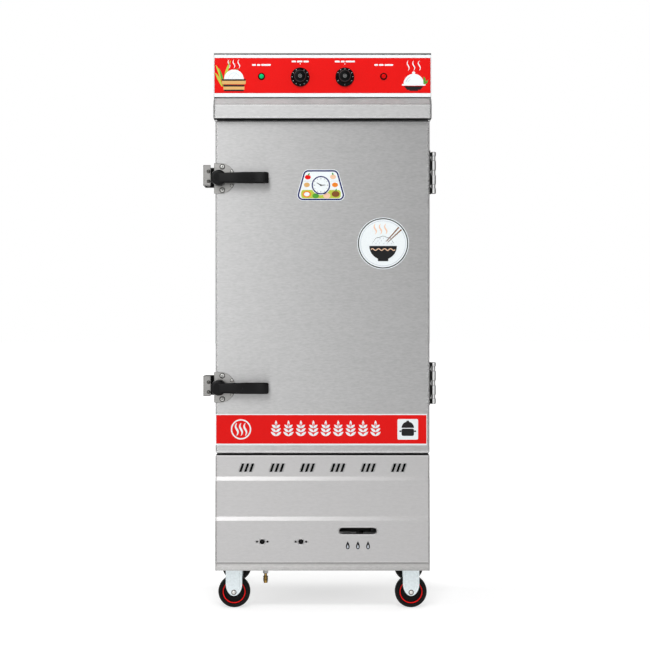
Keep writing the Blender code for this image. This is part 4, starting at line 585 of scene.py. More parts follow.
def ribbon(points, widths):
    """The outline of a stroke along points, with one width or with a width for each point."""
    if not isinstance(widths, list):
        widths = [widths] * len(points)
    left, right = [], []
    for index, (x, z) in enumerate(points):
        before = points[max(index - 1, 0)]
        after = points[min(index + 1, len(points) - 1)]
        run = Vector((after[0] - before[0], after[1] - before[1])).normalized()
        half = widths[index] / 2
        left.append((x - run.y * half, z + run.x * half))
        right.append((x + run.y * half, z - run.x * half))
    return left + right[::-1]


def steam(middle, low, gap, height, width, sway):
    """Three curls of steam side by side: waves that are thick in their middles and end thin."""
    curls = []
    for x in (middle - gap, middle, middle + gap):
        points, widths = [], []
        for i in range(17):
            share = i / 16
            points.append((x + sway * math.sin(share * 2 * math.pi), low + height * share))
            widths.append(width * (0.25 + 0.75 * math.sin(math.pi * share)))
        curls.append(ribbon(points, widths))
    return curls


def leaf(root, length, width, degrees, bend=0):
    """A pointed leaf from its root, which curls by a bend."""
    points, widths = [], []
    for i in range(11):
        share = i / 10
        angle = math.radians(degrees) + bend * share
        reach = length * share
        points.append((root[0] + reach * math.cos(angle), root[1] + reach * math.sin(angle)))
        widths.append(width * math.sin(math.pi * (0.08 + 0.9 * share)))
    return ribbon(points, widths)


def trapezoid(low_half, high_half, half_height, radius):
    """A rounded shape that is wider at its foot, with gently bowed sides."""
    low_x, high_x, z = low_half - radius, high_half - radius, half_height - radius
    corners = [(low_x, -z, -95, 10), (high_x, z, 15, 90)]
    corners += [(-high_x, z, 90, 165), (-low_x, -z, 170, 275)]
    return [p for x, y, start, end in corners for p in arc((x, y), radius, start, end, 6)]


# Printed labels: their faces, with the bodies that carry them

PANEL = (PANEL_Y, "cabinet")
DOOR = (DOOR_Y, "door")
ORIGIN = (0, 0)


def print_sheets(label, face, centre, *sheets):
    """Printed layers round a centre on an upright face. They lie on each other towards the front.

    Each is given by its name in the label, layer, ink and outlines, and by a slot if it has one.
    """
    face_y, body = face
    for name, layer, ink, outlines, *slot in sheets:
        name = f"{label}_{name}"
        at = (CENTRE_X + centre[0], face_y - LIFT - layer * LAYER, centre[1])
        add_piece(name, flat_mesh(name, outlines), at, body, VINYL[ink], *slot)


# Control label

LABEL_HALF_WIDTH = 330.2
LABEL_SIDE = 0.9
RED_RIM = 1.6
LABEL_LAYERS = (
    ("white", "white", 0, 1572.7, 1700.7),
    ("rim", "red_rim", LABEL_SIDE, 1584, 1691.6),
    ("red", "red", LABEL_SIDE + RED_RIM, 1584 + RED_RIM, 1691.6 - RED_RIM, "red_label"),
)
KNOB_X, KNOB_Z = 68, 1633
LAMP_X, LAMP_Z = (-186, 186.5), 1635
POINTER_Z = 1674.5
WORD_HEIGHT = 5.2
WORD_GAP = 3
WORDS = (
    ("thermostat", -KNOB_X, 1680.5, (13, 17, 16)),
    ("timer", KNOB_X, 1680.5, (15, 12, 28)),
    ("heating_lamp", LAMP_X[0], 1670, (12, 10, 29)),
    ("power_lamp", LAMP_X[1], 1670, (11, 14, 26)),
)


def word_bars(lengths):
    """A line of plain bars where the photograph has words."""
    left = -(sum(lengths) + WORD_GAP * (len(lengths) - 1)) / 2
    bars = []
    for length in lengths:
        right = left + length
        bars.append(rounded(left, right, -WORD_HEIGHT / 2, WORD_HEIGHT / 2, WORD_HEIGHT / 3))
        left = right + WORD_GAP
    return bars


def build_control_label():
    """A white label with a rimmed red field, open behind the knobs and the lamps."""
    holes = [circle(7, 24, (side * KNOB_X, KNOB_Z)) for side in (-1, 1)]
    holes += [circle(9, 24, (x, LAMP_Z)) for x in LAMP_X]
    for layer, (name, ink, inset, low, high, *slot) in enumerate(LABEL_LAYERS):
        outlines = [block(LABEL_HALF_WIDTH - inset, low, high, 1)] + holes
        print_sheets("control_label", PANEL, ORIGIN, (name, layer, ink, outlines, *slot))
    for name, x, z, lengths in WORDS:
        print_sheets("words", PANEL, (x, z), (name, 3, "white", word_bars(lengths)))
    pointer = [(-1.6, 0), (1.6, 0), (0, -3.8)]
    for name, x in (("thermostat", -KNOB_X), ("timer", KNOB_X)):
        print_sheets("pointer", PANEL, (x, POINTER_Z), (name, 3, "white", [pointer]))


def build_basket_motif():
    """A steamer basket with steam and leaves, at the left end of the control label."""
    leaves = [
        leaf((-32, 6), 68, 9, 100, 0.18),
        leaf((-36, 4), 48, 8.5, 108, 0.16),
        leaf((-28, 12), 74, 8, 88, -0.22),
    ]
    blades = [leaf((-32, 4), 58, 6, 96, 0.12), leaf((-26, 12), 62, 5.5, 76, -0.45)]
    folds = [
        ribbon(arc((0, 30), 16, 200, 20, 8), 0.9),
        ribbon(arc((14, 22), 20, 175, 110, 8), 0.9),
    ]
    tiers = [block(36, 11, 26.5, 3), block(32, -6, 9, 3)]
    bands = [block(36, 21.5, 26.5, 2), block(32, 4, 9, 2), block(30, -9.5, -5.5, 1)]
    print_sheets(
        "motif", PANEL, (-270, 1600),
        ("leaves_lime", 3, "lime", leaves),
        ("leaves_green", 4, "green", blades),
        ("dome", 5, "white", [arc((0, 26), 30, 0, 180, 24)]),
        ("folds", 6, "grey", folds),
        ("tiers", 7, "tan", tiers),
        ("bands", 8, "black", bands),
        ("steam", 3, "white", steam(0, 60, 15, 26, 3, 2.8)),
    )


def build_cover_motif():
    """A covered dish with steam, at the right end of the control label."""
    cover = [arc((0, 12), 31, 0, 180, 28), block(36, 7, 12, 2)]
    glints = [
        ribbon(arc((0, 12), 24, 165, 115, 8), 2.2),
        ribbon(arc((0, 12), 18, 160, 125, 6), 1.2),
    ]
    dish = [(-30, 5.5), (30, 5.5), (20, -6), (-20, -6)]
    sprig = [leaf((30, 12.5), 22, 7, 60, 0.5), leaf((31, 12), 18, 6, 20, 0.5)]
    print_sheets(
        "motif", PANEL, (278, 1600),
        ("cover", 3, "white", cover),
        ("cover_knob", 4, "white", [circle(4.5, 20, (0, 46))]),
        ("cover_glints", 4, "grey", glints),
        ("dish", 3, "black", [dish, block(13, -9, -6.2, 1)]),
        ("cover_steam", 3, "white", steam(0, 53, 17, 30, 3.4, 3)),
        ("sprig", 5, "green", sprig),
    )


# Door labels

BAND_LEFT, BAND_RIGHT = -326.2, 319
BAND_LAYERS = (("white", 0, 510, 606), ("red", 1.5, 515, 602.5, "red_label"))
BAND_MIDDLE = (515 + 602.5) / 2
EARS, EAR_LEFT, EAR_GAP = 9, -142, 38
RING_X, TILE_X = -249, 260.5
DIAL_CENTRE = (-4.9, 1304.6)
ROUND_CENTRE = (185, 1127)
ROUND_RADIUS = 79


def build_door_band():
    """The red band along the door's foot: ears of grain between a steam mark and a pot mark."""
    for layer, (ink, inset, low, high, *slot) in enumerate(BAND_LAYERS):
        outline = rounded(BAND_LEFT + inset, BAND_RIGHT - inset, low, high, 1)
        print_sheets("band", DOOR, ORIGIN, (ink, layer, ink, [outline], *slot))
    ears = []
    for index in range(EARS):
        x = EAR_LEFT + index * EAR_GAP
        ears.append(ribbon([(x, -24), (x, 0), (x, 18)], [3.2, 3, 2]))
        for z, length in ((-20, 20), (-8, 18.5), (4, 16)):
            ears += [leaf((x, z), length, 7.8, turn) for turn in (38, 142)]
        ears.append(leaf((x, 10), 17.5, 7, 90))
    print_sheets("band", DOOR, (0, BAND_MIDDLE), ("ears", 2, "white", ears))
    curls = steam(0, -19, 13, 38, 6.2, 3.6)
    print_sheets(
        "band", DOOR, (RING_X, BAND_MIDDLE),
        ("ring", 2, "white", [circle(31), circle(26.8)]),
        ("ring_steam", 2, "white", curls),
    )
    pot = [
        block(19, -20, 2, 5),
        [(-21.5, 4.5), *arc((0, 4.5), 19, 180, 0, 16), (21.5, 4.5)],
        rounded(-25.5, -19.5, -8, -3.5, 1),
        rounded(19.5, 25.5, -8, -3.5, 1),
    ]
    print_sheets(
        "band", DOOR, (TILE_X, BAND_MIDDLE),
        ("tile", 2, "white", [block(31.5, -31.5, 31.5, 4)]),
        ("pot", 3, "black", pot),
        ("pot_handle", 4, "black", [block(4, 22.5, 26.5, 1.5)]),
    )


def build_dial_sticker():
    """A plain dial in a blue frame, on a white field with a lime foot and round fruit."""
    frames = (("edge", 0, "white"), ("border", 2, "blue"), ("field", 6.6, "white"))
    sheets = []
    for layer, (name, inset, ink) in enumerate(frames):
        outline = trapezoid(73 - inset, 56.4 - inset, 48 - inset, 18 - inset)
        sheets.append((name, layer, ink, [outline]))
    lines = [ribbon([(far, 12.5), (near, 12.5)], 1.2) for far, near in ((-54, -30), (54, 30))]
    sheets.append(("lines", 3, "grey", lines))
    sheets.append(("foot", 3, "lime", [block(60.5, -40, -14.5, 8)]))
    fruits = (
        (-43, -27.5, 13, "orange"),
        (-16, -32.5, 10, "green"),
        (18, -32, 11, "peach"),
        (45, -27, 12, "brown"),
        (-40, 24.5, 9, "red"),
        (-43, 1, 9, "tan"),
        (37, 25.5, 9, "peach"),
        (43, 1, 9, "orange"),
    )
    for index, (x, z, half, ink) in enumerate(fruits):
        sheets.append((f"fruit_{index + 1}", 4, ink, [ellipse((x, z), half, half * 0.76)]))
    roots = ((-39.5, 29.5, 55), (37.5, 30.5, 110), (45, -19.5, 75))
    sprigs = [leaf((x, z), 9, 4.2, turn) for x, z, turn in roots]
    ticks = []
    for index in range(12):
        reaches = (20.3 if index % 3 else 18.2, 22.6)
        ticks.append(ribbon([clock_point(reach, index * 30) for reach in reaches], 1.3))
    sheets += [
        ("dish", 5, "white", [ellipse((-43, -27.5), 8.5, 6.2)]),
        ("sprigs", 5, "green", sprigs),
        ("halo", 4, "white", [circle(30)]),
        ("rim", 5, "blue", [circle(28.2)]),
        ("face", 6, "white", [circle(24.5)]),
        ("ticks", 7, "black", ticks),
    ]
    hands = []
    for degrees, length, width in ((-60, 15, 3.4), (88, 14, 2.8)):
        hands.append(ribbon([(0, 0), clock_point(length, degrees)], [width, width * 0.5]))
    hands.append(circle(2.6, 16))
    for index, hand in enumerate(hands):
        sheets.append((f"hand_{index + 1}", 7 + index, "black", [hand]))
    print_sheets("dial", DOOR, DIAL_CENTRE, *sheets)


def build_round_sticker():
    """A round label with a rice bowl, in place of the photograph's figure."""
    rings = [circle(ROUND_RADIUS - inset, 72) for inset in (0, 2.2, 5.5, 9.5, 11)]
    rice = []
    for x, z in arc((0, 0), 33, 0, 180, 24):
        rice.append((x, -6 + z * 0.8 + 1.2 * math.sin(9 * math.atan2(z, x))))
    specks = []
    for row, count in enumerate((5, 4, 3)):
        for step in range(count):
            root = ((step - (count - 1) / 2) * 12, -2 + row * 7.2)
            specks.append(leaf(root, 6, 2.2, 35 + 40 * (step % 2)))
    wave = [(-37 + 74 * i / 24, -19 + 3 * math.sin(i * 1.05)) for i in range(25)]
    sticks = [ribbon([(15, 4), (56, 42)], [2.4, 3.6]), ribbon([(10, 6), (48, 49)], [2.4, 3.6])]
    print_sheets(
        "round",
        DOOR,
        ROUND_CENTRE,
        ("edge", 0, "white", rings[:1]),
        ("border", 1, "black", rings[1:2]),
        ("field", 2, "white", rings[2:3]),
        ("ring", 3, "grey", rings[3:]),
        ("rice_edge", 3, "black", [[(x, z + 1.2) for x, z in rice]]),
        ("rice", 4, "white", [rice]),
        ("specks", 5, "grey", specks),
        ("bowl", 5, "black", [arc((0, -8), 42, 180, 360, 28)]),
        ("foot", 4, "black", [block(16, -54.5, -47, 2)]),
        ("wave", 6, "peach", [ribbon(wave, 2.6)]),
        ("sticks", 5, "brown", sticks),
        ("steam", 3, "peach", steam(-8, 28, 16, 31, 4.2, 3.4)),
    )


# Strips of painted shade and base marks, with depths as part.py has them

PART_DOOR_Y = -300
# Black strips and a darker seam strip, as painted shade
STRIPS = (
    ("hood_shade_strip", 330, (1503.8, 1505.7), (-323.5, -300.6), SHADE_BLACK),
    ("sill_shade_strip", 325.5, (479.2, 480.6), (-294.5, -248), SHADE_BLACK),
    ("skirt_seam_shade", 325, (147.8, 153.2), (-304.8, -304.1), SEAM_SHADE_STEEL),
    ("vent_shade_sheet", 262, (420, 462), (-292.5, -291.7), SHADE_BLACK),
)
FLAMES_X, FLAMES_Z = (77, 108, 139), 193
FLAME_WIDTH, FLAME_HEIGHT = 7.8, 12.5


def build_strips():
    """Painted shade: black strips under the hood and the door, a dark seam over the skirt, a black
    vent sheet.
    """
    for name, half, (low, high), (front, back), material in STRIPS:
        outline = block(half, low, high, min(0.6, (high - low) / 3))
        at = (CENTRE_X, DOOR_Y + back - PART_DOOR_Y, 0)
        add_piece(name, flat_mesh(name, [outline], back - front), at, "cabinet", material)


def build_flame_mark():
    """A row of plain flames under the ignition slot."""
    flame = []
    for i in range(33):
        turn = 2 * math.pi * i / 32
        pinch = (1 - math.cos(turn)) / 2
        x = FLAME_WIDTH * math.sin(turn) * pinch**0.6
        flame.append((x, FLAME_HEIGHT * (1 + math.cos(turn))))
    outer = [[(x + px, pz) for px, pz in flame] for x in FLAMES_X]
    inner = [[(x + px * 0.42, 3 + pz * 0.46) for px, pz in flame] for x in FLAMES_X]
    face = (box("base_front_panel")[0].y, "cabinet")
    sheets = (("mark", 0, "black", outer), ("mark_core", 1, "grey", inner))
    print_sheets("flame", face, (0, FLAMES_Z), *sheets)


# Screws, with profiles in shares of their radius, apart from the height of the countersink

SINK_SHADE_PROFILE = ((1.01, 0), (1.01, 0.2), (1.2, 0.25), (1.38, 0.2), (1.4, 0))
HEAD_PROFILE = ((0, 0.42), (0.45, 0.4), (0.78, 0.28), (0.97, 0.12), (1, 0), (0, 0))
CROSS_ARM, CROSS_HALF = 0.58, 0.13
CROSS_TURN = 24


def cross_outline(radius):
    arm, half = CROSS_ARM * radius, CROSS_HALF * radius
    quarter = ((arm, -half), (arm, half), (half, half))
    turns = ((1, 0), (0, 1), (-1, 0), (0, -1))
    return [(x * c - z * s, x * s + z * c) for c, s in turns for x, z in quarter]


def add_screw(name, at, radius, body, material, facing=0):
    """A pan head whose cross recess and countersink ring are black, as painted shade. facing turns
    it about Z.
    """
    # Painted shade: a black ring round the head
    sink_shade = [(radius * r, h) for r, h in SINK_SHADE_PROFILE]
    front_turned(f"{name}_sink_shade", sink_shade, at, body, SHADE_BLACK, facing=facing, steps=36)
    head = [(radius * r, radius * h) for r, h in HEAD_PROFILE]
    front_turned(name, head, at, body, material, facing=facing, steps=28)
    # Painted shade: the cross recess as a black sheet
    recess_shade = flat_mesh(f"{name}_recess_shade", [cross_outline(radius)], 0.05 * radius)
    recess_shade.transform(rotation(CROSS_TURN, "Y"))
    recess_shade.transform(Matrix.Translation((0, -0.4 * radius, 0)))
    recess_shade.transform(rotation(facing, "Z"))
    add_piece(f"{name}_recess_shade", recess_shade, at, body, VINYL["black"])


# Latches

LATCH_X = -315.5
HUB_RADIUS, HUB_DEPTH = 23.8, 32
ARM_GROWTH, ARM_DROP = 1.04, -1.2
# Distance from the hub's centre, half height, and the near and far side in shares of the depth
ARM_STATIONS = (
    (0, 14, 0.2, 0.62), (12, 14.6, 0.19, 0.6), (26, 14.9, 0.1, 0.54), (40, 15.2, 0.04, 0.47),
    (60, 16, 0.02, 0.42), (85, 16.5, 0.04, 0.41), (108, 16.5, 0.045, 0.41),
    (120, 16.7, 0.045, 0.41), (126, 16.7, 0.022, 0.4), (132, 16.7, 0.004, 0.4),
    (140, 16.7, 0, 0.4), (148, 16.3, 0.01, 0.39), (151.5, 14.8, 0.04, 0.36),
    (152.5, 12, 0.1, 0.3),
)
CAM_HALF, CAM_THICKNESS, CAM_GAP = 11.8, 7.6, 0.4
PLATE_SCREWS = ((9.5, 35.5, 6), (9.5, -35.5, 6), (38.5, 21.5, 3.6), (38.5, -21.5, 3.6))
KEEPER_SCREW_X, KEEPER_SCREWS_Z, KEEPER_SCREW_RADIUS = -346.5, (11.5, -18.5), 4
KEEPER_SHADE_PAD_X, KEEPER_SHADE_PAD_DEPTH = -338.8, 40.3


def lever_mesh(name, low, high):
    """The arm: a bar that is narrow behind its hub, dips before its raised tip and ends rounded."""
    depth = high.y - low.y
    rings = []
    for reach, half, near, far in ARM_STATIONS:
        y_near, y_far = low.y + depth * near, low.y + depth * far
        middle, half_depth = (y_near + y_far) / 2, (y_far - y_near) / 2
        ring = []
        for turn in angles(32):
            c, s = math.cos(turn), math.sin(turn)
            up = math.copysign(abs(c) ** 0.22, c) * half * ARM_GROWTH + ARM_DROP
            out = math.copysign(abs(s) ** 0.26, s) * half_depth
            ring.append((reach, middle + out, up))
        rings.append(ring)
    return smooth(loft_mesh(name, rings), 50)


def build_latch(side):
    """A lever in three pieces for the CAD one, its plate's and keeper's screws, and a painted shade
    pad.
    """
    node = f"{side}_latch_lever"
    body = f"{side}_lever"
    low, high = box(node)
    x, z = CENTRE_X + LATCH_X, centre_of(node).z
    mesh = lever_mesh(f"{body}_arm", low, high)
    add_piece(f"{body}_arm", mesh, (x, 0, z), body, GRIP_PLASTIC, "black_plastic", node)
    profile = [
        (0, HUB_DEPTH - 0.6), (HUB_RADIUS * 0.55, HUB_DEPTH - 0.3),
        (HUB_RADIUS - 4.5, HUB_DEPTH - 0.2), (HUB_RADIUS - 2.2, HUB_DEPTH - 1.2),
        (HUB_RADIUS - 0.6, HUB_DEPTH - 3.2), (HUB_RADIUS, HUB_DEPTH - 6), (HUB_RADIUS, 10),
        (HUB_RADIUS - 0.8, 9.2), (HUB_RADIUS - 0.8, 8), (HUB_RADIUS, 7.2), (HUB_RADIUS, 0),
        (0, 0),
    ]
    looks = (body, BLACK_PLASTIC, "black_plastic", node)
    front_turned(f"{body}_hub", profile, (x, high.y, z), *looks, steps=96)
    outline = rounded(low.x - x, -HUB_RADIUS * 0.6, -CAM_HALF, CAM_HALF, 2.5)
    cam = flat_mesh(f"{body}_cam", [outline], CAM_THICKNESS)
    add_piece(f"{body}_cam", cam, (x, high.y - CAM_GAP, z), body, BLACK_PLASTIC, node=node)
    plate_y = box(f"{side}_latch_plate")[0].y
    for index, (dx, dz, radius) in enumerate(PLATE_SCREWS):
        name = f"{side}_latch_screw_{index + 1}"
        add_screw(name, (x + dx, plate_y, z + dz), radius, "door", SCREW_METAL)
    keeper = f"{side}_keeper"
    low, high = box(keeper)
    z = centre_of(keeper).z
    for index, dz in enumerate(KEEPER_SCREWS_Z):
        name = f"{keeper}_screw_{index + 1}"
        at = (CENTRE_X + KEEPER_SCREW_X, low.y, z + dz)
        add_screw(name, at, KEEPER_SCREW_RADIUS, "cabinet", DARK_SCREW)
    # A black pad in the keeper's channel, as painted shade
    pad_shade = flat_mesh(f"{keeper}_pad_shade", [block(8.8, -29, 29, 2)], 6)
    at = (CENTRE_X + KEEPER_SHADE_PAD_X, high.y - KEEPER_SHADE_PAD_DEPTH, z)
    add_piece(f"{keeper}_pad_shade", pad_shade, at, "cabinet", SHADE_BLACK)


# Hinges, in plan and in height from the middle of the pin

PIN_X = 342.5
PIN_RADIUS, PIN_NECK, PIN_BORE = 7.75, 6.4, 4.4
PIN_CHAMFER, KNUCKLE_CHAMFER = 1.6, 0.6
KNUCKLE_LOW, KNUCKLE_HIGH = 7.8, 37.2
LEAF_ROOT, LEAF_OUTER = -14.7, -12.2
ARM_PLAN = ((LEAF_ROOT, 1), (-7.4, 1), (-6.6, 5.2), (LEAF_OUTER, 12), (LEAF_ROOT, 12))
LEAF_PLAN = ((LEAF_ROOT, 4), (LEAF_OUTER, 4), (LEAF_OUTER, 40), (LEAF_ROOT, 40))
LEAF_SCREW_OUT, LEAF_SCREW_EDGE, LEAF_SCREW_RADIUS = 2.8, 12, 4.4
LEAF_SCREWS = (-0.68, 0, 0.68)


def hinge_leaf_mesh(side, low, high, half_height):
    """A leaf on the casing's side, with the arm that carries its knuckle."""
    prisms = []
    for plan, bottom, top in ((ARM_PLAN, low, high), (LEAF_PLAN, -half_height, half_height)):
        prisms.append([[(x, side * y, z) for x, y in plan] for z in (bottom, top)])
    return loft_mesh("leaf", *prisms)


def build_hinge(side):
    """Both leaves in smooth bar on near-black plates of painted shade: the door's knuckle, the
    frame's pin with its finials.
    """
    name = f"{side}_hinge"
    low, high = box(f"{name}_frame_leaf")
    half = (high.z - low.z) / 2
    at = (CENTRE_X + PIN_X, low.y + PIN_RADIUS, low.z + half)
    knuckle = [
        (PIN_BORE, KNUCKLE_HIGH), (PIN_RADIUS - KNUCKLE_CHAMFER, KNUCKLE_HIGH),
        (PIN_RADIUS, KNUCKLE_HIGH - KNUCKLE_CHAMFER),
        (PIN_RADIUS, KNUCKLE_LOW + KNUCKLE_CHAMFER),
        (PIN_RADIUS - KNUCKLE_CHAMFER, KNUCKLE_LOW), (PIN_BORE, KNUCKLE_LOW),
    ]
    pin = [
        (0, half), (PIN_RADIUS - PIN_CHAMFER, half), (PIN_RADIUS, half - PIN_CHAMFER),
        (PIN_RADIUS, 52.5), (PIN_NECK, 51.9), (PIN_NECK, 38), (4, 37.4), (4, 7.6),
        (PIN_NECK, 7), (PIN_NECK, -7.3), (PIN_RADIUS, -7.9), (PIN_RADIUS, -35.5),
        (PIN_NECK, -36.1), (PIN_NECK, -47.5), (PIN_RADIUS, -48.1),
        (PIN_RADIUS, -half + PIN_CHAMFER), (PIN_RADIUS - PIN_CHAMFER, -half), (0, -half),
    ]
    front = hinge_leaf_mesh(-1, 7.9, 37.1, half)
    back = hinge_leaf_mesh(1, -35.2, -7.8, half)
    knuckle_mesh = turned_mesh(f"{name}_knuckle_front", knuckle, 72)
    for part_name, mesh, body, material, leaf_name in (
        ("leaf_front", front, "door", LEAF_SHADE_STEEL, "door_leaf"),
        ("knuckle_front", knuckle_mesh, "door", HINGE_BAR, "door_leaf"),
        ("leaf_back", back, "cabinet", LEAF_SHADE_STEEL, "frame_leaf"),
        ("pin", turned_mesh(f"{name}_pin", pin, 72), "cabinet", HINGE_BAR, "frame_leaf"),
    ):
        add_piece(f"{name}_{part_name}", mesh, at, body, material, "zinc", f"{name}_{leaf_name}")
    # A black shim beside the pin, as painted shade in the gap by the door's edge
    shim_shade = flat_mesh(f"{name}_shim_shade", [block(4.2, -half, half, 0.8)], 5)
    add_piece(f"{name}_shim_shade", shim_shade, (at[0] - 10.5, at[1] + 13.5, at[2]), "cabinet", SHADE_BLACK)


def build_hinge_screws(side):
    """Countersunk screws in both leaves, on the cabinet's right side."""
    for leaf_name, body in (("door_leaf", "door"), ("frame_leaf", "cabinet")):
        low, high = box(f"{side}_hinge_{leaf_name}")
        y = low.y + LEAF_SCREW_EDGE if body == "door" else high.y - LEAF_SCREW_EDGE
        middle, half = (low.z + high.z) / 2, (high.z - low.z) / 2
        for index, share in enumerate(LEAF_SCREWS):
            name = f"{side}_{leaf_name}_screw_{index + 1}"
            at = (DOOR_HIGH.x + LEAF_SCREW_OUT, y, middle + half * share)
            add_screw(name, at, LEAF_SCREW_RADIUS, body, SCREW_METAL, facing=90)


# Knobs and lamps

FLUTES, FLUTE_DEPTH, FLUTED_RINGS = 30, 0.022, (5, 6)
MARK_RING, MARK_DEPTH, MARK_TILT = 24.3, 6.6, -39
MARK = block(0.5, -1.7, 1.7, 0.3)
THERMOSTAT_MARKS = range(30, 331, 30)
TIMER_MARKS = (-60, -30, 0, 30, 60, 90, 120, 180, 240)
INSERT_PROFILE = ((0, 0.4), (1.8, 0.4), (2.2, 1), (4.9, 1.3), (5.7, 0.8), (5.9, 0), (0, 0))
GROOVE_SHADE_PROFILE = ((2.6, 1.3), (2.6, 1.6), (4, 1.6), (4, 1.3))
KNOB_RIM_HIGHLIGHT_PROFILE = ((16, 0), (16.4, 0.6), (17.2, 0.3), (18.2, -1.4), (18.1, -2))
BEZEL_PROFILE = (
    (7.4, 3.6), (9.2, 3.8), (10.4, 3), (10.8, 1.4), (10.8, 0.7), (7.6, 0.7), (7.6, -29),
    (6, -29), (6, 3),
)


def flutes(index, angle):
    """The scale of a knob's radius, which dips at each flute of its grip."""
    dip = FLUTE_DEPTH * (0.5 + 0.5 * math.cos(FLUTES * angle))
    return 1 - dip if index in FLUTED_RINGS else 1


def build_knob(name, x, marks):
    """A pointer knob: a skirt with marks, a fluted grip with a rim of painted highlight, and a
    bright insert.
    """
    low, high = box(name)
    depth = high.y - low.y
    radius = (high.x - low.x) / 2
    x += CENTRE_X
    profile = [
        (0, depth - 1), (6, depth - 1), (6.8, depth - 0.2), (15, depth), (17.2, depth - 0.8),
        (18.3, depth - 2.6), (18.5, 11), (19, 9.2), (22.2, 7.8), (26.2, 4.6), (radius - 0.6, 4),
        (radius, 3.2), (radius, 0), (0, 0),
    ]
    looks = (name, KNOB_PLASTIC, "black_plastic", name)
    at = (x, high.y, KNOB_Z)
    front_turned(f"{name}_body", profile, at, *looks, steps=180, wobble=flutes)
    at = (x, low.y + 1, KNOB_Z)
    front_turned(f"{name}_insert", INSERT_PROFILE, at, name, INSERT_METAL, steps=64)
    # A black ring on the insert, as painted shade of a groove
    front_turned(f"{name}_groove_shade", GROOVE_SHADE_PROFILE, at, name, SHADE_BLACK, steps=48)
    at = (x, low.y + 0.1, KNOB_Z)
    # A lighter ring at the cap's edge, as painted highlight
    front_turned(f"{name}_rim", KNOB_RIM_HIGHLIGHT_PROFILE, at, name, RIM_HIGHLIGHT_PLASTIC, steps=120)
    for index, degrees in enumerate(marks):
        mesh = flat_mesh(f"{name}_figure_{index}", [MARK])
        mesh.transform(rotation(MARK_TILT, "X"))
        mesh.transform(rotation(degrees, "Y"))
        dx, dz = clock_point(MARK_RING, degrees)
        at = (x + dx, high.y - MARK_DEPTH, KNOB_Z + dz)
        add_piece(f"{name}_figure_{index}", mesh, at, name, VINYL["white"])


def build_lamp(name, x, lens_material, slot):
    """A bezel with a stepped rim round a domed lens with rings."""
    at = (CENTRE_X + x, PANEL_Y, LAMP_Z)
    front_turned(f"{name}_bezel", BEZEL_PROFILE, at, "cabinet", BEZEL, node=name, steps=72)
    dome = [(0, 9)]
    for ring in range(1, 7):
        radius = 7 * ring / 6
        height = 3.2 + 5.8 * math.cos(math.asin(radius / 7.4))
        dome += [(radius - 0.4, height + 0.2), (radius, height - 0.3)]
    dome += [(7.1, 2.8), (0, 2.8)]
    front_turned(f"{name}_lens", dome, at, "cabinet", lens_material, slot, name, steps=72)


# Casters, with heights from the middle of the wheel

FORK_TOP = 82
FORK_FACE = 22.5
CHEEK_HALF, CHEEK_DROP, CHEEK_CENTRE = 25.5, 37.9, 26.4
CHEEK_LEVELS = ((0, 20), (0, 22.2), (0.4, FORK_FACE), (6.6, FORK_FACE), (8, 23.8))
PLATE_THICKNESS = 2.5
WASHER_PROFILE = ((4, 2.2), (7.4, 2.2), (8.2, 1.8), (8.2, 0), (4, 0))
NUT_PROFILE = ((0, 5.2), (3, 5.1), (4.6, 4.6), (5.4, 3.6), (5.6, 1.8), (0, 1.8))


def mirrored(profile):
    """A profile that goes on downwards as it came."""
    return profile + [(radius, -height) for radius, height in reversed(profile)]


def build_wheel(name, ring_material):
    """A tyre on a moulded core, with a coloured ring on each face."""
    low, high = box(name)
    centre = centre_of(name)
    radius, half = (high.z - low.z) / 2, (high.y - low.y) / 2
    tread = [
        (39.2, half - 1.2), (41.5, half - 0.2), (45.2, half - 0.8), (radius - 2.2, half - 3),
        (radius - 0.7, half - 5.6), (radius, half - 9),
    ]
    looks = (name, TYRE, "rubber", name)
    front_turned(f"{name}_tyre", mirrored(tread), centre, *looks, steps=128)
    core = [
        (4.4, half), (12.8, half), (14, half - 0.8), (15, half - 5), (18, half - 6.6),
        (29, half - 6.6), (30.2, half - 3), (36.4, half - 3), (37.2, half - 1.4),
        (39.1, half - 1.4),
    ]
    looks = (name, HUB_PLASTIC, "rubber", name)
    front_turned(f"{name}_core", mirrored(core), centre, *looks, steps=96)
    band = (
        (32.4, half - 3.1), (32.6, half - 1.2), (33.2, half - 0.4), (34.8, half - 0.4),
        (35.5, half - 1.2), (35.7, half - 3.1),
    )
    for side, label in ((1, "front"), (-1, "back")):
        ring = [(r, side * h) for r, h in band]
        front_turned(f"{name}_ring_{label}", ring, centre, name, ring_material, steps=96)


def cheek_outline(inset):
    """One cheek of a fixed fork: straight sides that close in an oval end."""
    half, drop = CHEEK_HALF - inset, CHEEK_DROP - inset
    turns = [math.pi * (1 + i / 28) for i in range(29)]
    end = [(half * math.cos(t), CHEEK_CENTRE + drop * math.sin(t)) for t in turns]
    return [(-half, FORK_TOP), *end, (half, FORK_TOP)]


def build_fork(name, wheel):
    """A pressed fork: two cheeks with a raised middle, and the plate that joins them."""
    low, high = box(name)
    axle = centre_of(wheel)
    lofts = []
    for side in (-1, 1):
        cheek = []
        for inset, y in CHEEK_LEVELS:
            cheek.append([(x, side * y, z) for x, z in cheek_outline(inset)])
        lofts.append(cheek)
    half_x, half_y = (high.x - low.x) / 2, (high.y - low.y) / 2
    plan = block(half_x, -half_y, half_y, 6)
    top = high.z - axle.z
    lofts.append([[(x, y, z) for x, y in plan] for z in (top - PLATE_THICKNESS, top)])
    mesh = smooth(loft_mesh(f"{name}_sheet", *lofts), 25)
    at = (centre_of(name).x, axle.y, axle.z)
    add_piece(f"{name}_sheet", mesh, at, "cabinet", ZINC, "zinc", name)


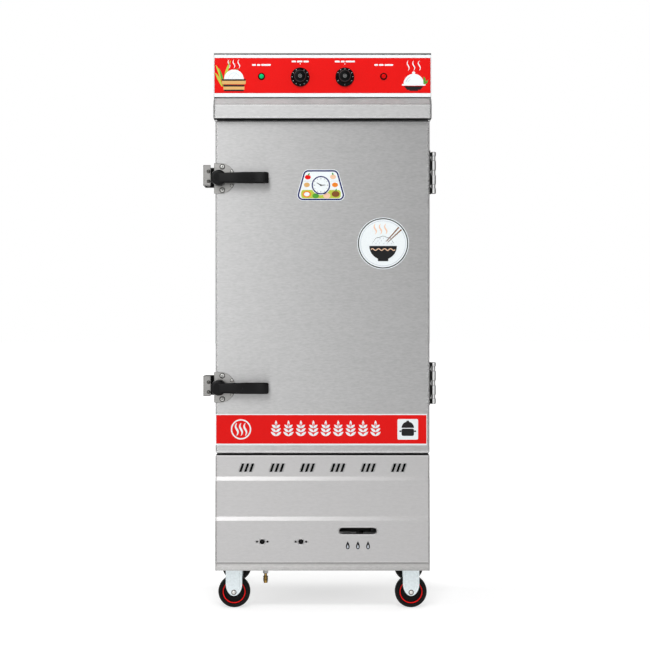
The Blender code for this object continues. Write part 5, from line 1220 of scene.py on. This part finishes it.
def build_axle_bolts(fork, body, wheel):
    """A washer and a domed nut over each end of the fork's axle."""
    x, y, z = centre_of(wheel)
    for label, reach, facing in (("front", -FORK_FACE, 0), ("back", FORK_FACE, 180)):
        at = (x, y + reach, z)
        name = f"{fork}_washer_{label}"
        front_turned(name, WASHER_PROFILE, at, body, DARK_SCREW, "zinc", facing=facing, steps=48)
        name = f"{fork}_nut_{label}"
        front_turned(name, NUT_PROFILE, at, body, SCREW_METAL, "zinc", facing=facing, steps=48)


# Gas inlet

NUT_LOW, NECK_LOW = 108.7, 99.5
NUT_HALF, NUT_CORNER = 8.2, 9.4
RIB_PITCH = 5.2


def build_barb():
    """The hose barb: a hexagon nut with chamfers, a neck and ribs."""
    node = "gas_inlet_barb"
    at = (*centre_of(node).xy, 0)
    bottom = box(node)[0].z
    top = box("chassis")[0].z + 5
    levels = ((0.9, top - 0.3), (1, top - 1.8), (1, NUT_LOW + 1.5), (0.9, NUT_LOW))
    rings = []
    for scale, z in levels:
        ring = []
        for turn in angles(48):
            sector = (turn + math.pi / 6) % (math.pi / 3) - math.pi / 6
            reach = min(NUT_HALF / math.cos(sector), NUT_CORNER) * scale
            ring.append((reach * math.cos(turn), reach * math.sin(turn), z))
        rings.append(ring)
    nut = smooth(loft_mesh("barb_nut", rings), 25)
    add_piece("barb_nut", nut, at, "cabinet", NUT_BAR, node=node)
    profile = [(0, NUT_LOW), (4.6, NUT_LOW), (4.6, NECK_LOW + 2), (7.4, NECK_LOW)]
    height = NECK_LOW
    while height - RIB_PITCH > bottom:
        profile += [(7.9, height - 0.6), (7.9, height - 1.6)]
        profile += [(6.4, height - 4.6), (6.6, height - RIB_PITCH)]
        height -= RIB_PITCH
    profile += [(5.8, bottom), (3.4, bottom), (3.2, bottom + 12), (0, bottom + 12)]
    stem = turned_mesh("barb_stem", profile, 64)
    add_piece("barb_stem", stem, at, "cabinet", BRASS, "brass", node)


# Studio. Levels of the light that metal mirrors, over the X and the Z of its direction

SIDE_LEVELS = (
    (-1, 0.1), (-0.8, 0.2), (-0.62, 1.2), (-0.2, 2.1), (-0.09, 1.27), (0.01, 0.44),
    (0.12, 0.18), (0.42, 0.18), (0.62, 0.8), (0.8, 0.2), (1, 0.1),
)
HEIGHT_LEVELS = (
    (-1, 1), (0.08, 0.92), (0.24, 0.95), (0.42, 2.7), (0.58, 2.2), (0.76, 0.7), (1, 0.52),
)
LEVEL_LIMIT = 3
AMBIENT = 0.62
FLOOR_HALF, FLOOR_Z = 60000, -0.2
TARGET_Z = 1000


def level_curve(tree, axis, levels):
    """A smooth curve of light levels over one part of the direction, from -1 to 1."""
    direction = new_node(tree, "TexCoord").outputs["Generated"]
    place = map_range(tree, part(tree, direction, axis), -1, 1, 0, 1)
    node = new_node(tree, "FloatCurve", {"Value": place})
    points = node.mapping.curves[0].points
    while len(points) < len(levels):
        points.new(0.5, 0.5)
    for point, (share, level) in zip(points, levels):
        point.location = ((share + 1) / 2, level / LEVEL_LIMIT)
    node.mapping.update()
    return multiply(tree, node.outputs[0], LEVEL_LIMIT)


def build_world():
    """A white backdrop, even lighting, and what metal mirrors: bright to the left, dull right."""
    world = bpy.data.worlds.new("studio")
    bpy.context.scene.world = world
    world.use_nodes = True
    tree = world.node_tree
    tree.nodes.clear()
    side = level_curve(tree, "X", SIDE_LEVELS)
    height = level_curve(tree, "Z", HEIGHT_LEVELS)
    strengths = (1, multiply(tree, side, height), AMBIENT)
    seen, mirrored_light, lighting = [
        add_node(tree, "Background", {"Color": WHITE, "Strength": strength})
        for strength in strengths
    ]
    path = new_node(tree, "LightPath").outputs
    shiny = calculate(tree, "MAXIMUM", path["Is Glossy Ray"], path["Is Transmission Ray"])
    unseen = add_node(tree, "MixShader", {0: shiny, 1: lighting, 2: mirrored_light})
    surface = add_node(tree, "MixShader", {0: path["Is Camera Ray"], 1: unseen, 2: seen})
    new_node(tree, "OutputWorld", {"Surface": surface})


def build_floor():
    """A pale floor that keeps the cabinet's shadow, lifted by painted light behind it, and fades
    into the white background.
    """
    bm = bmesh.new()
    bmesh.ops.create_grid(bm, x_segments=1, y_segments=1, size=FLOOR_HALF * MM)
    floor = add_object("floor", mesh_of("floor", bm))
    floor.location.z = FLOOR_Z * MM
    material = bpy.data.materials.new("studio_floor")
    material.use_nodes = True
    tree = material.node_tree
    tree.nodes.clear()
    level = vary(tree, noise(tree, 2, 60), 0.49, 0.51)
    matt = add_node(tree, "BsdfDiffuse", {"Color": shade(tree, WHITE[:3], level)})
    path = new_node(tree, "LightPath").outputs
    direct = calculate(tree, "MAXIMUM", path["Is Camera Ray"], path["Is Glossy Ray"])
    place = geometry(tree, "Position")
    y = part(tree, place, "Y")
    away = new_node(tree, "VectorMath", {0: place}, operation="LENGTH").outputs["Value"]
    # Painted light: the glow rises behind the cabinet, lifting the shade there, and far away it
    # fades into white
    glow = map_range(tree, y, 0.1, 0.22, 0.62, 0.74)
    glow = calculate(tree, "ADD", glow, map_range(tree, y, 0.5, 1.2, 0, 0.06))
    glow = calculate(tree, "ADD", glow, map_range(tree, away, 2.2, 4, 0, 0.2))
    inputs = {"Color": WHITE, "Strength": multiply(tree, direct, glow)}
    both = add_node(tree, "AddShader", {0: matt, 1: add_node(tree, "Emission", inputs)})
    new_node(tree, "OutputMaterial", {"Surface": both})
    floor.data.materials.append(material)


def add_lamp(name, at, size, power):
    """A soft lamp, aimed at the door. Metal mirrors the world's levels, and not the lamp."""
    data = bpy.data.lights.new(name, "AREA")
    data.shape = "RECTANGLE"
    data.size, data.size_y = Vector(size) * MM
    data.energy = power
    lamp = add_object(name, data)
    lamp.location = Vector(at) * MM
    aim = Vector((CENTRE_X, DOOR_Y, TARGET_Z)) - Vector(at)
    lamp.rotation_euler = aim.to_track_quat("-Z", "Y").to_euler()
    lamp.visible_glossy = False


def build_camera():
    data = bpy.data.cameras.new("camera")
    data.sensor_width = SENSOR_WIDTH
    data.lens = SENSOR_WIDTH * CAMERA_DISTANCE / FIELD_WIDTH
    camera = add_object("camera", data)
    at = (CENTRE_X + CAMERA_SIDE, DOOR_Y - CAMERA_DISTANCE, CAMERA_HEIGHT)
    camera.location = Vector(at) * MM
    camera.rotation_euler = (math.radians(90), 0, 0)
    bpy.context.scene.camera = camera


def main():
    build_camera()
    build_world()
    build_floor()
    add_lamp("key", (CENTRE_X - 150, DOOR_Y - 3400, 3900), (1200, 900), 102)
    add_lamp("left_fill", (CENTRE_X - 2600, DOOR_Y - 1600, 1400), (1000, 2000), 8)
    dress_nodes()
    build_control_label()
    build_basket_motif()
    build_cover_motif()
    build_door_band()
    build_dial_sticker()
    build_round_sticker()
    build_flame_mark()
    build_strips()
    for side in ("upper", "lower"):
        build_latch(side)
        build_hinge(side)
        build_hinge_screws(side)
    build_knob("thermostat_knob", -KNOB_X, THERMOSTAT_MARKS)
    build_knob("timer_knob", KNOB_X, TIMER_MARKS)
    build_lamp("heating_lamp", LAMP_X[0], GREEN_LENS, "green_lens")
    build_lamp("power_lamp", LAMP_X[1], RED_LENS, "red_lens")
    for side in ("left", "right"):
        build_wheel(f"{side}_front_wheel", RING_RED)
        # The rear wheels' rings are black, as painted shade where they sit in shadow
        build_wheel(f"{side}_rear_wheel", HUB_PLASTIC)
        build_fork(f"{side}_front_fork", f"{side}_front_wheel")
        build_axle_bolts(f"{side}_front_fork", "cabinet", f"{side}_front_wheel")
        build_axle_bolts(f"{side}_rear_swivel_fork", f"{side}_rear_swivel", f"{side}_rear_wheel")
    build_barb()


bpy.context.scene.view_settings.view_transform = "Standard"
main()
